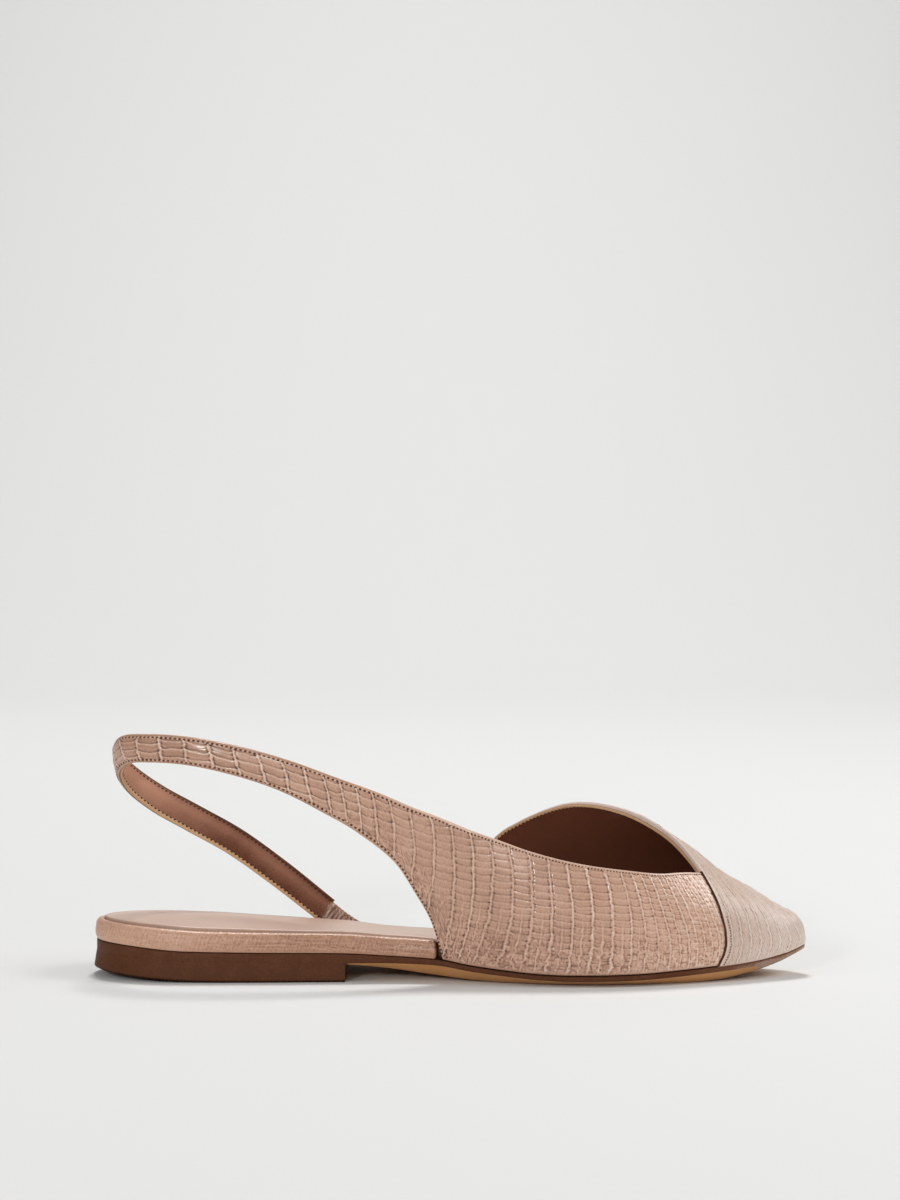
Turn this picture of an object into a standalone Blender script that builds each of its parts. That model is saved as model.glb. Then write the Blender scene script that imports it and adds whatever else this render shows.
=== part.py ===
"""Flat slingback shoe with a pointed toe: a left shoe that stands on its heel and forefoot.

The toe points along +X. The inner side of the foot faces -Y and the outer side +Y. Sizes are in millimetres,
counted from the back of the heel along the shoe, and they become metres where a mesh is made.
"""
import math

import bmesh
import bpy
import numpy as np
from mathutils.kdtree import KDTree

# Driving dimensions
MM = 0.001
LENGTH = 262.0            # back of the heel to the tip of the toe
BALL_INNER = 38.3         # axis to the inner ball joint
BALL_OUTER = 37.3         # axis to the outer ball joint
GAP = 0.3                 # clearance between pieces that touch
HEEL_ROUND = 34.0         # length over which the back of the heel is rounded
TOE_ROUND = 8.0           # the same at the toe

HEEL_BREAST = 93.0        # front face of the heel
HEEL_FLARE = 0.9          # how far the heel spreads from its top to the floor
HEEL_CHAMFER = 0.7        # rounded lower edge of the heel
HEEL_LIFT = 2.6           # the very back of the heel clears the floor by this much
HEEL_LIFT_LENGTH = 46.0

RAND_INSET = 0.3          # covered insole edge, in from the outsole's edge
RAND_START = 0.6
RAND_END_INNER = 126.0    # the covered edge shows back to here from the heel, on the inner side
RAND_END_OUTER = 132.5    # and on the outer side
RAND_STEP = 0.6           # half the length over which the board steps inside the upper
BOARD_INSET = 4.2         # insole board under the upper, in from the outsole's edge
BOARD_END = 252.5
RAND_ROUND = 2.2          # rounded top edge of the covered insole

SOCK_INSET = 3.0          # padded sock, in from the edge of the board that carries it
SOCK_EDGE = 0.6           # thickness of the sock at its edge
SOCK_PAD = 2.2            # extra thickness of the heel pad
PAD_CENTRE = 40.0
PAD_REACH = 38.0

WALL = 1.9                # leather and lining of the quarter and the sling
VAMP_WALL = 2.6           # the vamp lies over the quarter, so its wall steps up at the seam
SEAM_STEP = 0.5           # length of that step
UPPER_INSET = 0.7         # outer face of the vamp, in from the outsole's edge
NOSE_ROUND = 3.6          # rounding of the toe seen from the side
NOSE_HEIGHT = 12.9
NOSE_CLEAR = 0.5          # extra clearance of the vamp's lower edge round the toe
NOSE_CLEAR_FROM = 232.0
SWELL_CLEAR = 0.08        # the same where the side walls swell out, as a share of the swell
SECTION_POWER = 0.95      # 1 gives elliptical sections, less gives squarer ones
THROAT_SHARE = -0.33      # where the seam meets the topline, as a share of the inner half section

ELASTIC_THICK = 1.3
ELASTIC_WIDTH = 8.0

AXIS_SHIFT = np.array([-LENGTH / 2, (BALL_INNER - BALL_OUTER) / 2, 0.0])

LIZARD_PINK = (0.52, 0.33, 0.26, 1.0)
SOCK_BEIGE = (0.58, 0.40, 0.32, 1.0)
HEEL_BROWN = (0.055, 0.024, 0.014, 1.0)
SOLE_TAN = (0.42, 0.23, 0.11, 1.0)
ELASTIC_ROSE = (0.42, 0.25, 0.19, 1.0)


def curve_through(knots, values, at, flat=True):
    """A smooth curve through values at knots. With flat it never overshoots a row of a table."""
    knots, values, at = (np.asarray(a, float) for a in (knots, values, at))
    span = np.diff(knots)
    slope = np.diff(values) / span
    before, after = span[:-1], span[1:]
    tangent = np.zeros_like(values)
    tangent[0], tangent[-1] = slope[0], slope[-1]
    if flat:
        agree = slope[:-1] * slope[1:] > 0
        left, right = np.where(agree, slope[:-1], 1.0), np.where(agree, slope[1:], 1.0)
        near, far = 2 * after + before, after + 2 * before
        tangent[1:-1] = np.where(agree, (near + far) / (near / left + far / right), 0.0)
    else:
        tangent[1:-1] = (slope[:-1] * after + slope[1:] * before) / (before + after)
    k = np.clip(np.searchsorted(knots, at) - 1, 0, len(span) - 1)
    t = (at - knots[k]) / span[k]
    return (
        values[k] * (1 + 2 * t) * (1 - t) ** 2
        + tangent[k] * span[k] * t * (1 - t) ** 2
        + values[k + 1] * t * t * (3 - 2 * t)
        + tangent[k + 1] * span[k] * t * t * (t - 1)
    )


class Table:
    """Rows of named sizes, read between the rows by a smooth curve along the first column."""

    def __init__(self, names, rows):
        self.columns = dict(zip(names.split(), np.array(rows, float).T))
        self.knots = self.columns[names.split()[0]]

    def at(self, name, x):
        return curve_through(self.knots, self.columns[name], x)


# Outsole: edges to either side of the axis, height of its top at the inner edge, how much lower the outer edge
# is, height of the tread, how far the bevel under the edge goes in and how high the upright edge is.
SOLE = Table("x inner outer top drop tread bevel band", [
    (0, 26.0, 26.0, 13.2, 0.0, 8.9, 0.8, 2.6),
    (14, 26.3, 26.3, 12.5, 0.0, 8.6, 0.8, 2.7),
    (35, 26.6, 26.6, 11.0, 0.0, 7.7, 0.8, 2.8),
    (60, 26.3, 26.8, 10.5, 0.2, 7.2, 0.8, 3.0),
    (92, 24.7, 27.5, 10.1, 1.0, 6.4, 0.8, 3.3),
    (108, 23.8, 28.7, 9.2, 1.8, 4.5, 4.0, 2.5),
    (125, 25.4, 31.4, 8.2, 2.2, 2.1, 5.5, 2.0),
    (140, 29.6, 34.4, 5.9, 1.5, 0.6, 6.0, 1.7),
    (152, 33.3, 36.4, 4.7, 0.7, 0.1, 6.5, 1.6),
    (163, 36.1, BALL_OUTER, 3.9, 0.2, 0.0, 7.0, 1.6),
    (174, 37.8, 36.9, 3.6, 0.0, 0.0, 7.0, 1.7),
    (184, BALL_INNER, 35.7, 3.7, 0.0, 0.0, 7.0, 1.7),
    (198, 37.0, 32.6, 4.0, 0.0, 0.0, 7.0, 1.7),
    (212, 33.2, 28.0, 4.7, 0.0, 0.0, 6.0, 1.7),
    (226, 28.0, 22.6, 5.6, 0.0, 0.5, 5.0, 1.7),
    (240, 21.4, 15.8, 6.6, 0.0, 1.9, 4.5, 1.6),
    (252, 14.6, 9.0, 8.5, 0.0, 4.8, 3.5, 1.6),
    (LENGTH, 8.6, 2.6, 11.5, 0.0, 9.4, 2.0, 1.6),
])

# Covered insole board: height of its top at the inner edge, and how much more than the sole it drops outwards.
BOARD = Table("x top drop", [
    (0, 20.6, 0.0), (14, 20.0, 0.2), (26, 19.3, 0.2), (42, 18.3, 0.0), (60, 17.9, 0.4), (92, 17.3, 1.0),
    (108, 16.1, 1.2), (124, 15.1, 1.2), (140, 11.9, 0.8), (155, 9.0, 0.3), (170, 7.4, 0.0), (198, 7.4, 0.0),
    (226, 8.9, 0.0), (240, 10.0, 0.0), (LENGTH, 14.4, 0.0),
])

# Crest of the last: where the inner face of the upper is highest, and how far its side walls swell out.
CREST = Table("x y z swell", [
    (90, -1.0, 160.0, 2.0),
    (112, -1.0, 143.0, 3.8),
    (130, -1.5, 111.0, 3.6),
    (152, -2.0, 86.0, 2.2),
    (169, -2.0, 75.0, 1.2),
    (185, -2.0, 65.0, 0.8),
    (202, -1.8, 55.2, 0.6),
    (212, -1.6, 48.7, 0.6),
    (220, -1.6, 42.7, 0.6),
    (230, -2.0, 34.8, 0.6),
    (240, -2.4, 29.5, 0.5),
    (250, -2.8, 22.8, 0.4),
    (LENGTH, -3.0, 16.8, 0.2),
])

# Back edge of the vamp. The share runs over the section from the inner feather edge (-1) by the crest (0) to
# the outer feather edge (1): a seam up to the throat, then a free edge round the outer wing.
VAMP_EDGE = Table("share x", [
    (-1.0, 227.2), (-0.92, 229.3), (-0.84, 230.1), (-0.76, 229.9), (-0.66, 228.9), (-0.54, 227.1),
    (THROAT_SHARE, 221.3), (-0.16, 215.4), (0.0, 208.8), (0.133, 197.6), (0.25, 187.4), (0.366, 177.2),
    (0.5, 165.8), (0.592, 156.9), (0.66, 150.2), (0.73, 145.0), (0.82, 140.8), (1.0, 136.0),
])

# Rungs of the inner quarter behind the seam, from its lower edge to its topline. A low_z of 0 is the sole.
QUARTER = Table("step low_x low_z top_x top_z", [
    (0, 227.2, 0, 221.3, 39.0),
    (1, 214.0, 0, 209.5, 38.6),
    (2, 195.0, 0, 193.0, 40.6),
    (3, 175.0, 0, 177.0, 43.3),
    (4, 156.5, 0, 161.0, 47.4),
    (5, 141.5, 0, 148.0, 51.9),
    (6, 133.0, 0, 138.0, 55.3),
    (7, 123.9, 23.0, 129.0, 58.9),
    (8, 113.2, 40.6, 118.4, 62.8),
])

# Inner face of the sling, from the quarter round the back of the heel to the elastic: middle of the band,
# its width and how far its top leans out, in degrees.
SLING = Table("step x y z width lean", [
    (0, 101.5, -22.9, 61.2, 16.2, -3),
    (1, 87.5, -23.2, 67.8, 13.4, -2),
    (2, 71.0, -22.9, 74.9, 11.4, 0),
    (3, 53.5, -21.9, 80.2, 10.6, 0),
    (4, 36.0, -19.4, 83.5, 10.2, 0),
    (5, 22.0, -14.6, 84.1, 10.2, 2),
    (6, 12.6, -7.0, 82.8, 10.4, 6),
    (7, 9.6, 1.2, 77.8, 10.4, 12),
    (8, 13.0, 9.0, 71.2, 10.5, 16),
    (9, 21.5, 15.2, 63.5, 10.6, 17),
    (10, 34.0, 19.9, 55.7, 10.6, 16),
    (11, 50.0, 23.2, 46.2, 10.5, 13),
    (12, 66.0, 25.2, 34.4, 10.3, 9),
    (13, 84.5, 27.2, 19.4, 9.8, 4),
])

# Middle of the elastic's inner face, from the end of the sling down to the side of the covered insole.
ELASTIC_PATH = [(85.0, 27.3, 19.0), (88.6, 27.9, 16.0), (92.4, 28.6, 13.2), (96.4, 28.9, 10.6)]

QUARTER_RISE = 9          # faces from the lower edge of the quarter to its topline
VAMP_OVER = 5             # faces from the throat to the crest of the vamp, the outer half being alike
VAMP_ALONG = 16           # faces from the vamp's edge to the toe
QUARTER_ALONG = 24
SLING_ALONG = 52
SLING_FROM = 7.0          # row of the quarter's table where it begins to turn into the sling


def rounded(distance, reach, least=0.1):
    """Share of the full width at a distance from a rounded end, where least keeps a small flat there."""
    share = np.clip(distance, least, reach) / reach
    return np.sqrt(1 - (1 - share) ** 2)


def sole_edges(x, inset=0.0, start=0.0, end=LENGTH, least=0.1):
    """Inner and outer y of the sole's outline at x, drawn in by inset and rounded at both ends."""
    inner, outer = SOLE.at("inner", x), SOLE.at("outer", x)
    middle, half = (outer - inner) / 2, (outer + inner) / 2 - inset
    half = half * rounded(x - start, HEEL_ROUND, least) * rounded(end - x, TOE_ROUND, least)
    return middle - half, middle + half


def tilt(x, y, board=0.0):
    """How much lower the sole lies at y than at its inner edge, or with board 1 the top of the insole."""
    inner, outer = SOLE.at("inner", x), SOLE.at("outer", x)
    return (SOLE.at("drop", x) + board * BOARD.at("drop", x)) * np.clip((y + inner) / (inner + outer), 0, 1)


def stations(start, end, heel_steps, middle_steps, toe_steps, extra=()):
    """Places along the shoe, close together where its ends are round."""
    heel = start + HEEL_ROUND * (1 - np.cos(np.linspace(0, math.pi / 2, heel_steps + 1)))
    toe = end - TOE_ROUND * (1 - np.cos(np.linspace(0, math.pi / 2, toe_steps + 1)))
    middle = np.linspace(heel[-1], toe[-1], middle_steps + 1)
    return np.unique(np.round(np.concatenate([heel, middle, toe, extra]), 3))


def last_point(x, share):
    """Inner face of the upper at x, where share runs over the section from -1 by the crest to 1."""
    end = LENGTH - VAMP_WALL
    inner, outer = sole_edges(x, UPPER_INSET + VAMP_WALL, end=end, least=0.0)
    foot = np.where(share < 0, inner, outer)
    rise = (1 - np.abs(share)) * math.pi / 2
    swell = CREST.at("swell", x) * rounded(end - x, TOE_ROUND, 0.0)
    clear = GAP + SWELL_CLEAR * swell + NOSE_CLEAR * np.clip((x - NOSE_CLEAR_FROM) / (end - NOSE_CLEAR_FROM), 0, 1)
    feather = SOLE.at("top", x) - tilt(x, foot) + clear
    nose = rounded(end - x, TOE_ROUND, 0.0)
    crest_y = (inner + outer) / 2 * (1 - nose) + CREST.at("y", x) * nose
    crest_z = NOSE_HEIGHT + (CREST.at("z", x) - NOSE_HEIGHT) * rounded(end - x, NOSE_ROUND, 0.0)
    y = crest_y + (foot - crest_y) * np.cos(rise) ** SECTION_POWER + np.sign(share) * swell * np.sin(2 * rise)
    z = feather + (crest_z - feather) * np.sin(rise) ** SECTION_POWER
    return np.stack(np.broadcast_arrays(x, y, z), -1)


def inner_wall(x, z):
    """The point of the inner side wall at x and height z."""
    feather = last_point(x, np.full_like(x, -1.0))[..., 2]
    crest = last_point(x, np.zeros_like(x))[..., 2]
    share = np.clip((z - feather) / (crest - feather), 0, 1) ** (1 / SECTION_POWER)
    return last_point(x, np.arcsin(share) / (math.pi / 2) - 1)


def finished_mesh(name, points, faces, material, collection):
    """A named object from points in millimetres, with doubled points merged and its faces turned out."""
    mesh = bpy.data.meshes.new(name)
    mesh.from_pydata(((np.asarray(points) + AXIS_SHIFT) * MM).tolist(), [], faces)
    shape = bmesh.new()
    shape.from_mesh(mesh)
    bmesh.ops.remove_doubles(shape, verts=shape.verts, dist=0.02 * MM)
    bmesh.ops.recalc_face_normals(shape, faces=shape.faces)
    shape.to_mesh(mesh)
    shape.free()
    mesh.shade_smooth()
    mesh.set_sharp_from_angle(angle=math.radians(35))
    mesh.materials.append(material)
    made = bpy.data.objects.new(name, mesh)
    collection.objects.link(made)
    return made


def grid_faces(rows, columns, closed=False, first=0):
    """Quads between neighbouring rows of points. With closed each row is a ring."""
    steps = columns if closed else columns - 1
    return [
        tuple(first + k for k in (
            r * columns + c,
            r * columns + (c + 1) % columns,
            (r + 1) * columns + (c + 1) % columns,
            (r + 1) * columns + c,
        ))
        for r in range(rows - 1)
        for c in range(steps)
    ]


def loft(name, rings, material, collection):
    """A closed solid through rings of points, capped at both ends."""
    rows, columns = rings.shape[:2]
    caps = [tuple(range(columns)), tuple(range((rows - 1) * columns, rows * columns))]
    faces = grid_faces(rows, columns, closed=True) + caps
    return finished_mesh(name, rings.reshape(-1, 3), faces, material, collection)


def ring_points(x, section):
    """One ring of points at each x, from a section of (y, z) pairs."""
    return np.stack([np.stack(np.broadcast_arrays(x, y, z), -1) for y, z in section], 1)


def make_outsole(material, collection):
    """Outsole: an upright edge band, a bevel under it and a tread that is flat below the ball."""
    x = stations(0.9, LENGTH - 0.5, 8, 26, 6)
    start, end = 0.8, LENGTH - 0.4
    inner, outer = sole_edges(x, 0.0, start, end)
    low_inner, low_outer = sole_edges(x, SOLE.at("bevel", x), start, end)
    top, tread = SOLE.at("top", x), SOLE.at("tread", x)
    drop, band = tilt(x, outer), SOLE.at("band", x)
    section = [
        (inner, top),
        (inner, top - band),
        (low_inner, tread),
        (low_outer, tread - np.minimum(drop, tread)),
        (outer, top - band - drop),
        (outer, top - drop),
    ]
    return loft("outsole", ring_points(x, section), material, collection)


def make_heel(material, collection):
    """Low block heel: its top follows the outsole, its foot is flat and spreads a little."""
    x = stations(0.0, HEEL_BREAST + TOE_ROUND, 9, 5, 1)
    x = np.append(x[x < HEEL_BREAST - 1], HEEL_BREAST)
    spread = -HEEL_FLARE * rounded(x, HEEL_ROUND)
    inner, outer = sole_edges(x + 1.0, 0.1, 1.0)
    foot_inner, foot_outer = sole_edges(x + 1.0, 0.1 + spread, 1.0)
    tread_inner, tread_outer = sole_edges(x + 1.0, 0.1 + spread + HEEL_CHAMFER, 1.0)
    tread_inner, tread_outer = np.minimum(tread_inner, -0.2), np.maximum(tread_outer, 0.2)
    top = SOLE.at("tread", x) - GAP
    floor = HEEL_LIFT * np.clip(1 - x / HEEL_LIFT_LENGTH, 0, 1) ** 1.4
    section = [
        (inner, top),
        (foot_inner, floor + HEEL_CHAMFER),
        (tread_inner, floor),
        (tread_outer, floor),
        (foot_outer, floor + HEEL_CHAMFER),
        (outer, top - tilt(x, outer)),
    ]
    return loft("heel", ring_points(x, section), material, collection)


def board_edges(x, inset, start=RAND_START, end=BOARD_END):
    """Outline of the insole board: flush with the sole behind, drawn inside the upper in front."""
    sides = []
    for side, step in ((0, RAND_END_INNER), (1, RAND_END_OUTER)):
        share = np.clip((x - step + RAND_STEP) / (2 * RAND_STEP), 0, 1)
        draw_in = RAND_INSET + (BOARD_INSET - RAND_INSET) * share * share * (3 - 2 * share)
        sides.append(sole_edges(x, draw_in + inset, start, end)[side])
    return sides


def make_covered_insole(material, collection):
    """Insole board wrapped in the upper's leather: a tall rounded edge behind, thin inside the upper."""
    steps = [s + d for s in (RAND_END_INNER, RAND_END_OUTER) for d in (-RAND_STEP, 0, RAND_STEP)]
    x = stations(RAND_START, BOARD_END, 8, 22, 4, steps)
    base, top = SOLE.at("top", x) + GAP, BOARD.at("top", x)
    shoulder = np.minimum(RAND_ROUND, (top - base) * 0.5)
    rows = [
        (0.0, base, 0.0),
        (-0.2, (base + top) / 2, 0.5),
        (0.1, top - shoulder, 1.0),
        (shoulder * 0.35, top - shoulder * 0.3, 1.0),
        (shoulder, top, 1.0),
    ]
    inner_side, outer_side = [], []
    for inset, z, board in rows:
        inner, outer = board_edges(x, inset)
        inner_side.append((inner, z - tilt(x, inner, board)))
        outer_side.append((outer, z - tilt(x, outer, board)))
    return loft("covered_insole", ring_points(x, inner_side + outer_side[::-1]), material, collection)


def make_sock(material, collection):
    """Padded sock on the insole board, thicker under the heel."""
    start, end = RAND_START + SOCK_INSET, BOARD_END - SOCK_INSET
    x = stations(start, end, 7, 20, 3)
    base = BOARD.at("top", x) + GAP
    pad = SOCK_PAD * np.clip(1 - ((x - PAD_CENTRE) / PAD_REACH) ** 2, 0, 1)
    inner, outer = board_edges(x, SOCK_INSET, start, end)
    over, under = [], []
    for share in (0.0, 0.12, 0.35, 0.65, 0.88, 1.0):
        y = inner + (outer - inner) * share
        floor = base - tilt(x, y, 1.0)
        over.append((y, floor + SOCK_EDGE + pad * math.sin(math.pi * share) ** 0.7))
        under.append((y, floor))
    return loft("insole_sock", ring_points(x, over + under[::-1]), material, collection)


def vamp_grid():
    """Inner face of the vamp: rows over the section, from the inner feather edge to the outer one."""
    rise = np.linspace(-1, THROAT_SHARE, QUARTER_RISE + 1)
    over = np.linspace(THROAT_SHARE, 0, VAMP_OVER + 1)[1:]
    half = np.concatenate([rise, over])
    share = np.concatenate([half, -half[-2::-1]])[:, None]
    along = 1 - (1 - np.linspace(0, 1, VAMP_ALONG + 1)) ** 1.7
    edge = VAMP_EDGE.at("x", share)
    x = edge + (LENGTH - VAMP_WALL - edge) * along[None, :]
    return last_point(x, np.broadcast_to(share, x.shape))


def sling_edges(step):
    """Lower and upper edge of the sling at fractional rows of its table."""
    read = {
        name: curve_through(SLING.knots, SLING.columns[name], step, flat=False)
        for name in ("x", "y", "z", "width", "lean")
    }
    middle = np.stack([read["x"], read["y"], read["z"]], -1)
    ahead = np.gradient(middle, axis=0)
    ahead /= np.linalg.norm(ahead, axis=1, keepdims=True)
    out = np.cross([0.0, 0.0, 1.0], ahead)
    out /= np.linalg.norm(out, axis=1, keepdims=True)
    lean = np.radians(read["lean"])[:, None]
    up = np.cross(ahead, out) * np.cos(lean) + out * np.sin(lean)
    half = up * read["width"][:, None] / 2
    return middle - half, middle + half


def quarter_rows(step, seam):
    """Rows of points on the inner side wall, from the quarter's lower edge to its topline."""
    low_x, top_x = QUARTER.at("low_x", step), QUARTER.at("top_x", step)
    sole_line = last_point(low_x, np.full_like(low_x, -1.0))[:, 2]
    low_z = np.maximum(QUARTER.at("low_z", step), sole_line)
    near_throat = np.clip(1 - step, 0, 1) ** 2
    top_z = QUARTER.at("top_z", step) + (seam[-1, 2] - QUARTER.columns["top_z"][0]) * near_throat
    up = ((seam[:, 2] - seam[0, 2]) / (seam[-1, 2] - seam[0, 2]))[None, :]
    bend = (seam[:, 0] - seam[0, 0] - (seam[-1, 0] - seam[0, 0]) * up[0])[None, :]
    fade = np.clip(1 - step / 2.5, 0, 1)[:, None] ** 2
    x = low_x[:, None] * (1 - up) + top_x[:, None] * up + bend * fade
    z = low_z[:, None] * (1 - up) + top_z[:, None] * up
    return inner_wall(x, z)


def quarter_grid(seam):
    """Inner face of the quarter and the sling: rows of points from the seam to the end of the sling."""
    front = np.concatenate([[0.0, SEAM_STEP / 13.0], np.linspace(0, SLING_FROM, QUARTER_ALONG + 1)[1:]])
    quarter = quarter_rows(front, seam)
    quarter[0] = seam
    up = np.linspace(0, 1, len(seam))[None, :, None]
    low, high = sling_edges(np.arange(len(SLING.knots), dtype=float))
    sling = low[:, None, :] * (1 - up) + high[:, None, :] * up
    rows = np.concatenate([quarter_rows(SLING_FROM + np.array([-0.5, 0.0, 0.5, 1.0]), seam), sling])
    path = rows.mean(axis=1)
    travel = np.concatenate([[0.0], np.cumsum(np.linalg.norm(np.diff(path, axis=0), axis=1))])
    fine = np.linspace(travel[1], travel[-1], SLING_ALONG + 1)[1:]
    band = np.stack([
        np.stack([curve_through(travel, rows[:, c, k], fine, flat=False) for k in range(3)], -1)
        for c in range(rows.shape[1])
    ], 1)
    return np.concatenate([quarter, band])


def make_upper(material, collection):
    """Upper: vamp, quarter and sling as one wall, open at the throat, the collar and underneath."""
    vamp = vamp_grid()
    quarter = quarter_grid(vamp[:QUARTER_RISE + 1, 0])
    points = np.concatenate([vamp.reshape(-1, 3), quarter.reshape(-1, 3)])
    faces = grid_faces(*vamp.shape[:2]) + grid_faces(*quarter.shape[:2], first=vamp[..., 0].size)
    upper = finished_mesh("upper", points, faces, material, collection)
    on_vamp = KDTree(vamp[..., 0].size)
    for k, point in enumerate(vamp.reshape(-1, 3)):
        on_vamp.insert((point + AXIS_SHIFT) * MM, k)
    on_vamp.balance()
    group = upper.vertex_groups.new(name="vamp")
    group.add([v.index for v in upper.data.vertices if on_vamp.find(v.co)[2] < 0.05 * MM], 1.0, "REPLACE")
    wall = upper.modifiers.new("wall", "SOLIDIFY")
    wall.thickness = VAMP_WALL * MM
    wall.offset = 1.0
    wall.use_even_offset = True
    wall.vertex_group = group.name
    wall.thickness_vertex_group = WALL / VAMP_WALL
    return upper


def make_elastic(material, collection):
    """Elastic band between the end of the sling and the side of the covered insole."""
    path = np.array(ELASTIC_PATH)
    knots = np.arange(len(path))
    fine = np.linspace(0, knots[-1], 9)
    middle = np.stack([curve_through(knots, path[:, k], fine, flat=False) for k in range(3)], -1)
    ahead = np.gradient(middle, axis=0)
    ahead /= np.linalg.norm(ahead, axis=1, keepdims=True)
    out = np.cross([0.0, 0.0, 1.0], ahead)
    out /= np.linalg.norm(out, axis=1, keepdims=True)
    up = np.cross(ahead, out) * ELASTIC_WIDTH / 2
    rings = np.stack([middle - up, middle + up, middle + up + out * ELASTIC_THICK,
                      middle - up + out * ELASTIC_THICK], 1)
    return loft("strap_elastic", rings, material, collection)


def principled(name, colour, roughness):
    material = bpy.data.materials.new(name)
    material.use_nodes = True
    shader = material.node_tree.nodes["Principled BSDF"]
    shader.inputs["Base Color"].default_value = colour
    shader.inputs["Roughness"].default_value = roughness
    shader.inputs["Metallic"].default_value = 0.0
    return material


def main():
    for old in list(bpy.data.objects):
        bpy.data.objects.remove(old)
    collection = bpy.data.collections.new("slingback_shoe")
    bpy.context.scene.collection.children.link(collection)
    lizard = principled("lizard_leather", LIZARD_PINK, 0.4)
    make_outsole(principled("sole_tan", SOLE_TAN, 0.5), collection)
    make_heel(principled("heel_brown", HEEL_BROWN, 0.5), collection)
    make_covered_insole(lizard, collection)
    make_sock(principled("sock_leather", SOCK_BEIGE, 0.5), collection)
    make_upper(lizard, collection)
    make_elastic(principled("elastic_rose", ELASTIC_ROSE, 0.7), collection)


main()
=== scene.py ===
import math

import bpy
import numpy as np
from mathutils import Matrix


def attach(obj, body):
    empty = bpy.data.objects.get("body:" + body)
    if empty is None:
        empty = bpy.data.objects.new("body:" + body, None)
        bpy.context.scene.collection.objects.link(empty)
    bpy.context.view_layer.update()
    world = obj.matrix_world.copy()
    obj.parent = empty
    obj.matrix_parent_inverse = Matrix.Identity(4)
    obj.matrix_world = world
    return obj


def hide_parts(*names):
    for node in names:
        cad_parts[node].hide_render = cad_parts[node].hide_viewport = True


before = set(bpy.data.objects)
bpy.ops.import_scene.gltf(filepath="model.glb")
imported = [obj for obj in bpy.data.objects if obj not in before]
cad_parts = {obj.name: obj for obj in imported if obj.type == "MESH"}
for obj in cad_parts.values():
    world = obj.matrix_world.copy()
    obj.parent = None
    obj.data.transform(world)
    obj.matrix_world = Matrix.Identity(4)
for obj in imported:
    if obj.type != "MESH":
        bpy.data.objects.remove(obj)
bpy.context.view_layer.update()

print("frame loaded with nodes", sorted(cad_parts))

# Slingback flat, left shoe. Shapes are worked out in millimetres from the back of the heel, toe along +x,
# inner side of the foot along -y, and become metres in the shared frame when a mesh is made.

shoe = {
    "length": 262.0, "gap": 0.3, "heelRound": 34.0, "toeRound": 8.0,
    "shift": (-131.0, 0.5, 0.0), "metres": 0.001,
}

last = {
    "upperInset": 0.7, "vampWall": 2.6, "wall": 1.9, "liningClear": 0.02, "noseRound": 3.6, "noseHeight": 12.9,
    "noseClear": 0.5, "noseClearFrom": 232.0, "swellClear": 0.08, "sectionPower": 0.95, "throatShare": -0.33,
}


def makeTable(names, rows):
    # one array for each named column
    return dict(zip(names.split(), np.array(rows, float).T))


soleTable = makeTable("x inner outer top drop tread bevel band", [
    (0, 26.0, 26.0, 13.2, 0.0, 8.9, 0.8, 2.6),
    (14, 26.3, 26.3, 12.5, 0.0, 8.6, 0.8, 2.7),
    (35, 26.6, 26.6, 11.0, 0.0, 7.7, 0.8, 2.8),
    (60, 26.3, 26.8, 10.5, 0.2, 7.2, 0.8, 3.0),
    (92, 24.7, 27.5, 10.1, 1.0, 6.4, 0.8, 3.3),
    (108, 23.8, 28.7, 9.2, 1.8, 4.5, 4.0, 2.5),
    (125, 25.4, 31.4, 8.2, 2.2, 2.1, 5.5, 2.0),
    (140, 29.6, 34.4, 5.9, 1.5, 0.6, 6.0, 1.7),
    (152, 33.3, 36.4, 4.7, 0.7, 0.1, 6.5, 1.6),
    (163, 36.1, 37.3, 3.9, 0.2, 0.0, 7.0, 1.6),
    (174, 37.8, 36.9, 3.6, 0.0, 0.0, 7.0, 1.7),
    (184, 38.3, 35.7, 3.7, 0.0, 0.0, 7.0, 1.7),
    (198, 37.0, 32.6, 4.0, 0.0, 0.0, 7.0, 1.7),
    (212, 33.2, 28.0, 4.7, 0.0, 0.0, 6.0, 1.7),
    (226, 28.0, 22.6, 5.6, 0.0, 0.5, 5.0, 1.7),
    (240, 21.4, 15.8, 6.6, 0.0, 2.5, 4.5, 1.6),
    (252, 14.6, 9.0, 8.5, 0.0, 5.8, 3.5, 1.6),
    (262, 8.6, 2.6, 11.5, 0.0, 9.8, 2.0, 1.6),
])

boardTable = makeTable("x top drop", [
    (0, 20.6, 0.0), (14, 20.0, 0.2), (26, 19.3, 0.2), (42, 18.3, 0.0), (60, 17.9, 0.4), (92, 17.3, 1.0),
    (108, 16.1, 1.2), (124, 15.1, 1.2), (140, 11.9, 0.8), (155, 9.0, 0.3), (170, 7.4, 0.0), (198, 7.4, 0.0),
    (226, 8.9, 0.0), (240, 10.0, 0.0), (262, 14.4, 0.0),
])

crestTable = makeTable("x y z swell", [
    (90, -1.0, 160.0, 2.0), (112, -1.0, 143.0, 3.8), (130, -1.5, 111.0, 3.6), (152, -2.0, 86.0, 2.2),
    (169, -2.0, 75.0, 1.2), (185, -2.0, 65.0, 0.8), (202, -1.8, 55.2, 0.6), (212, -1.6, 48.7, 0.6),
    (220, -1.6, 43.2, 0.6), (230, -2.0, 35.2, 0.6), (240, -2.4, 29.7, 0.5), (250, -2.8, 23.5, 0.4),
    (262, -3.0, 17.6, 0.2),
])

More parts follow.
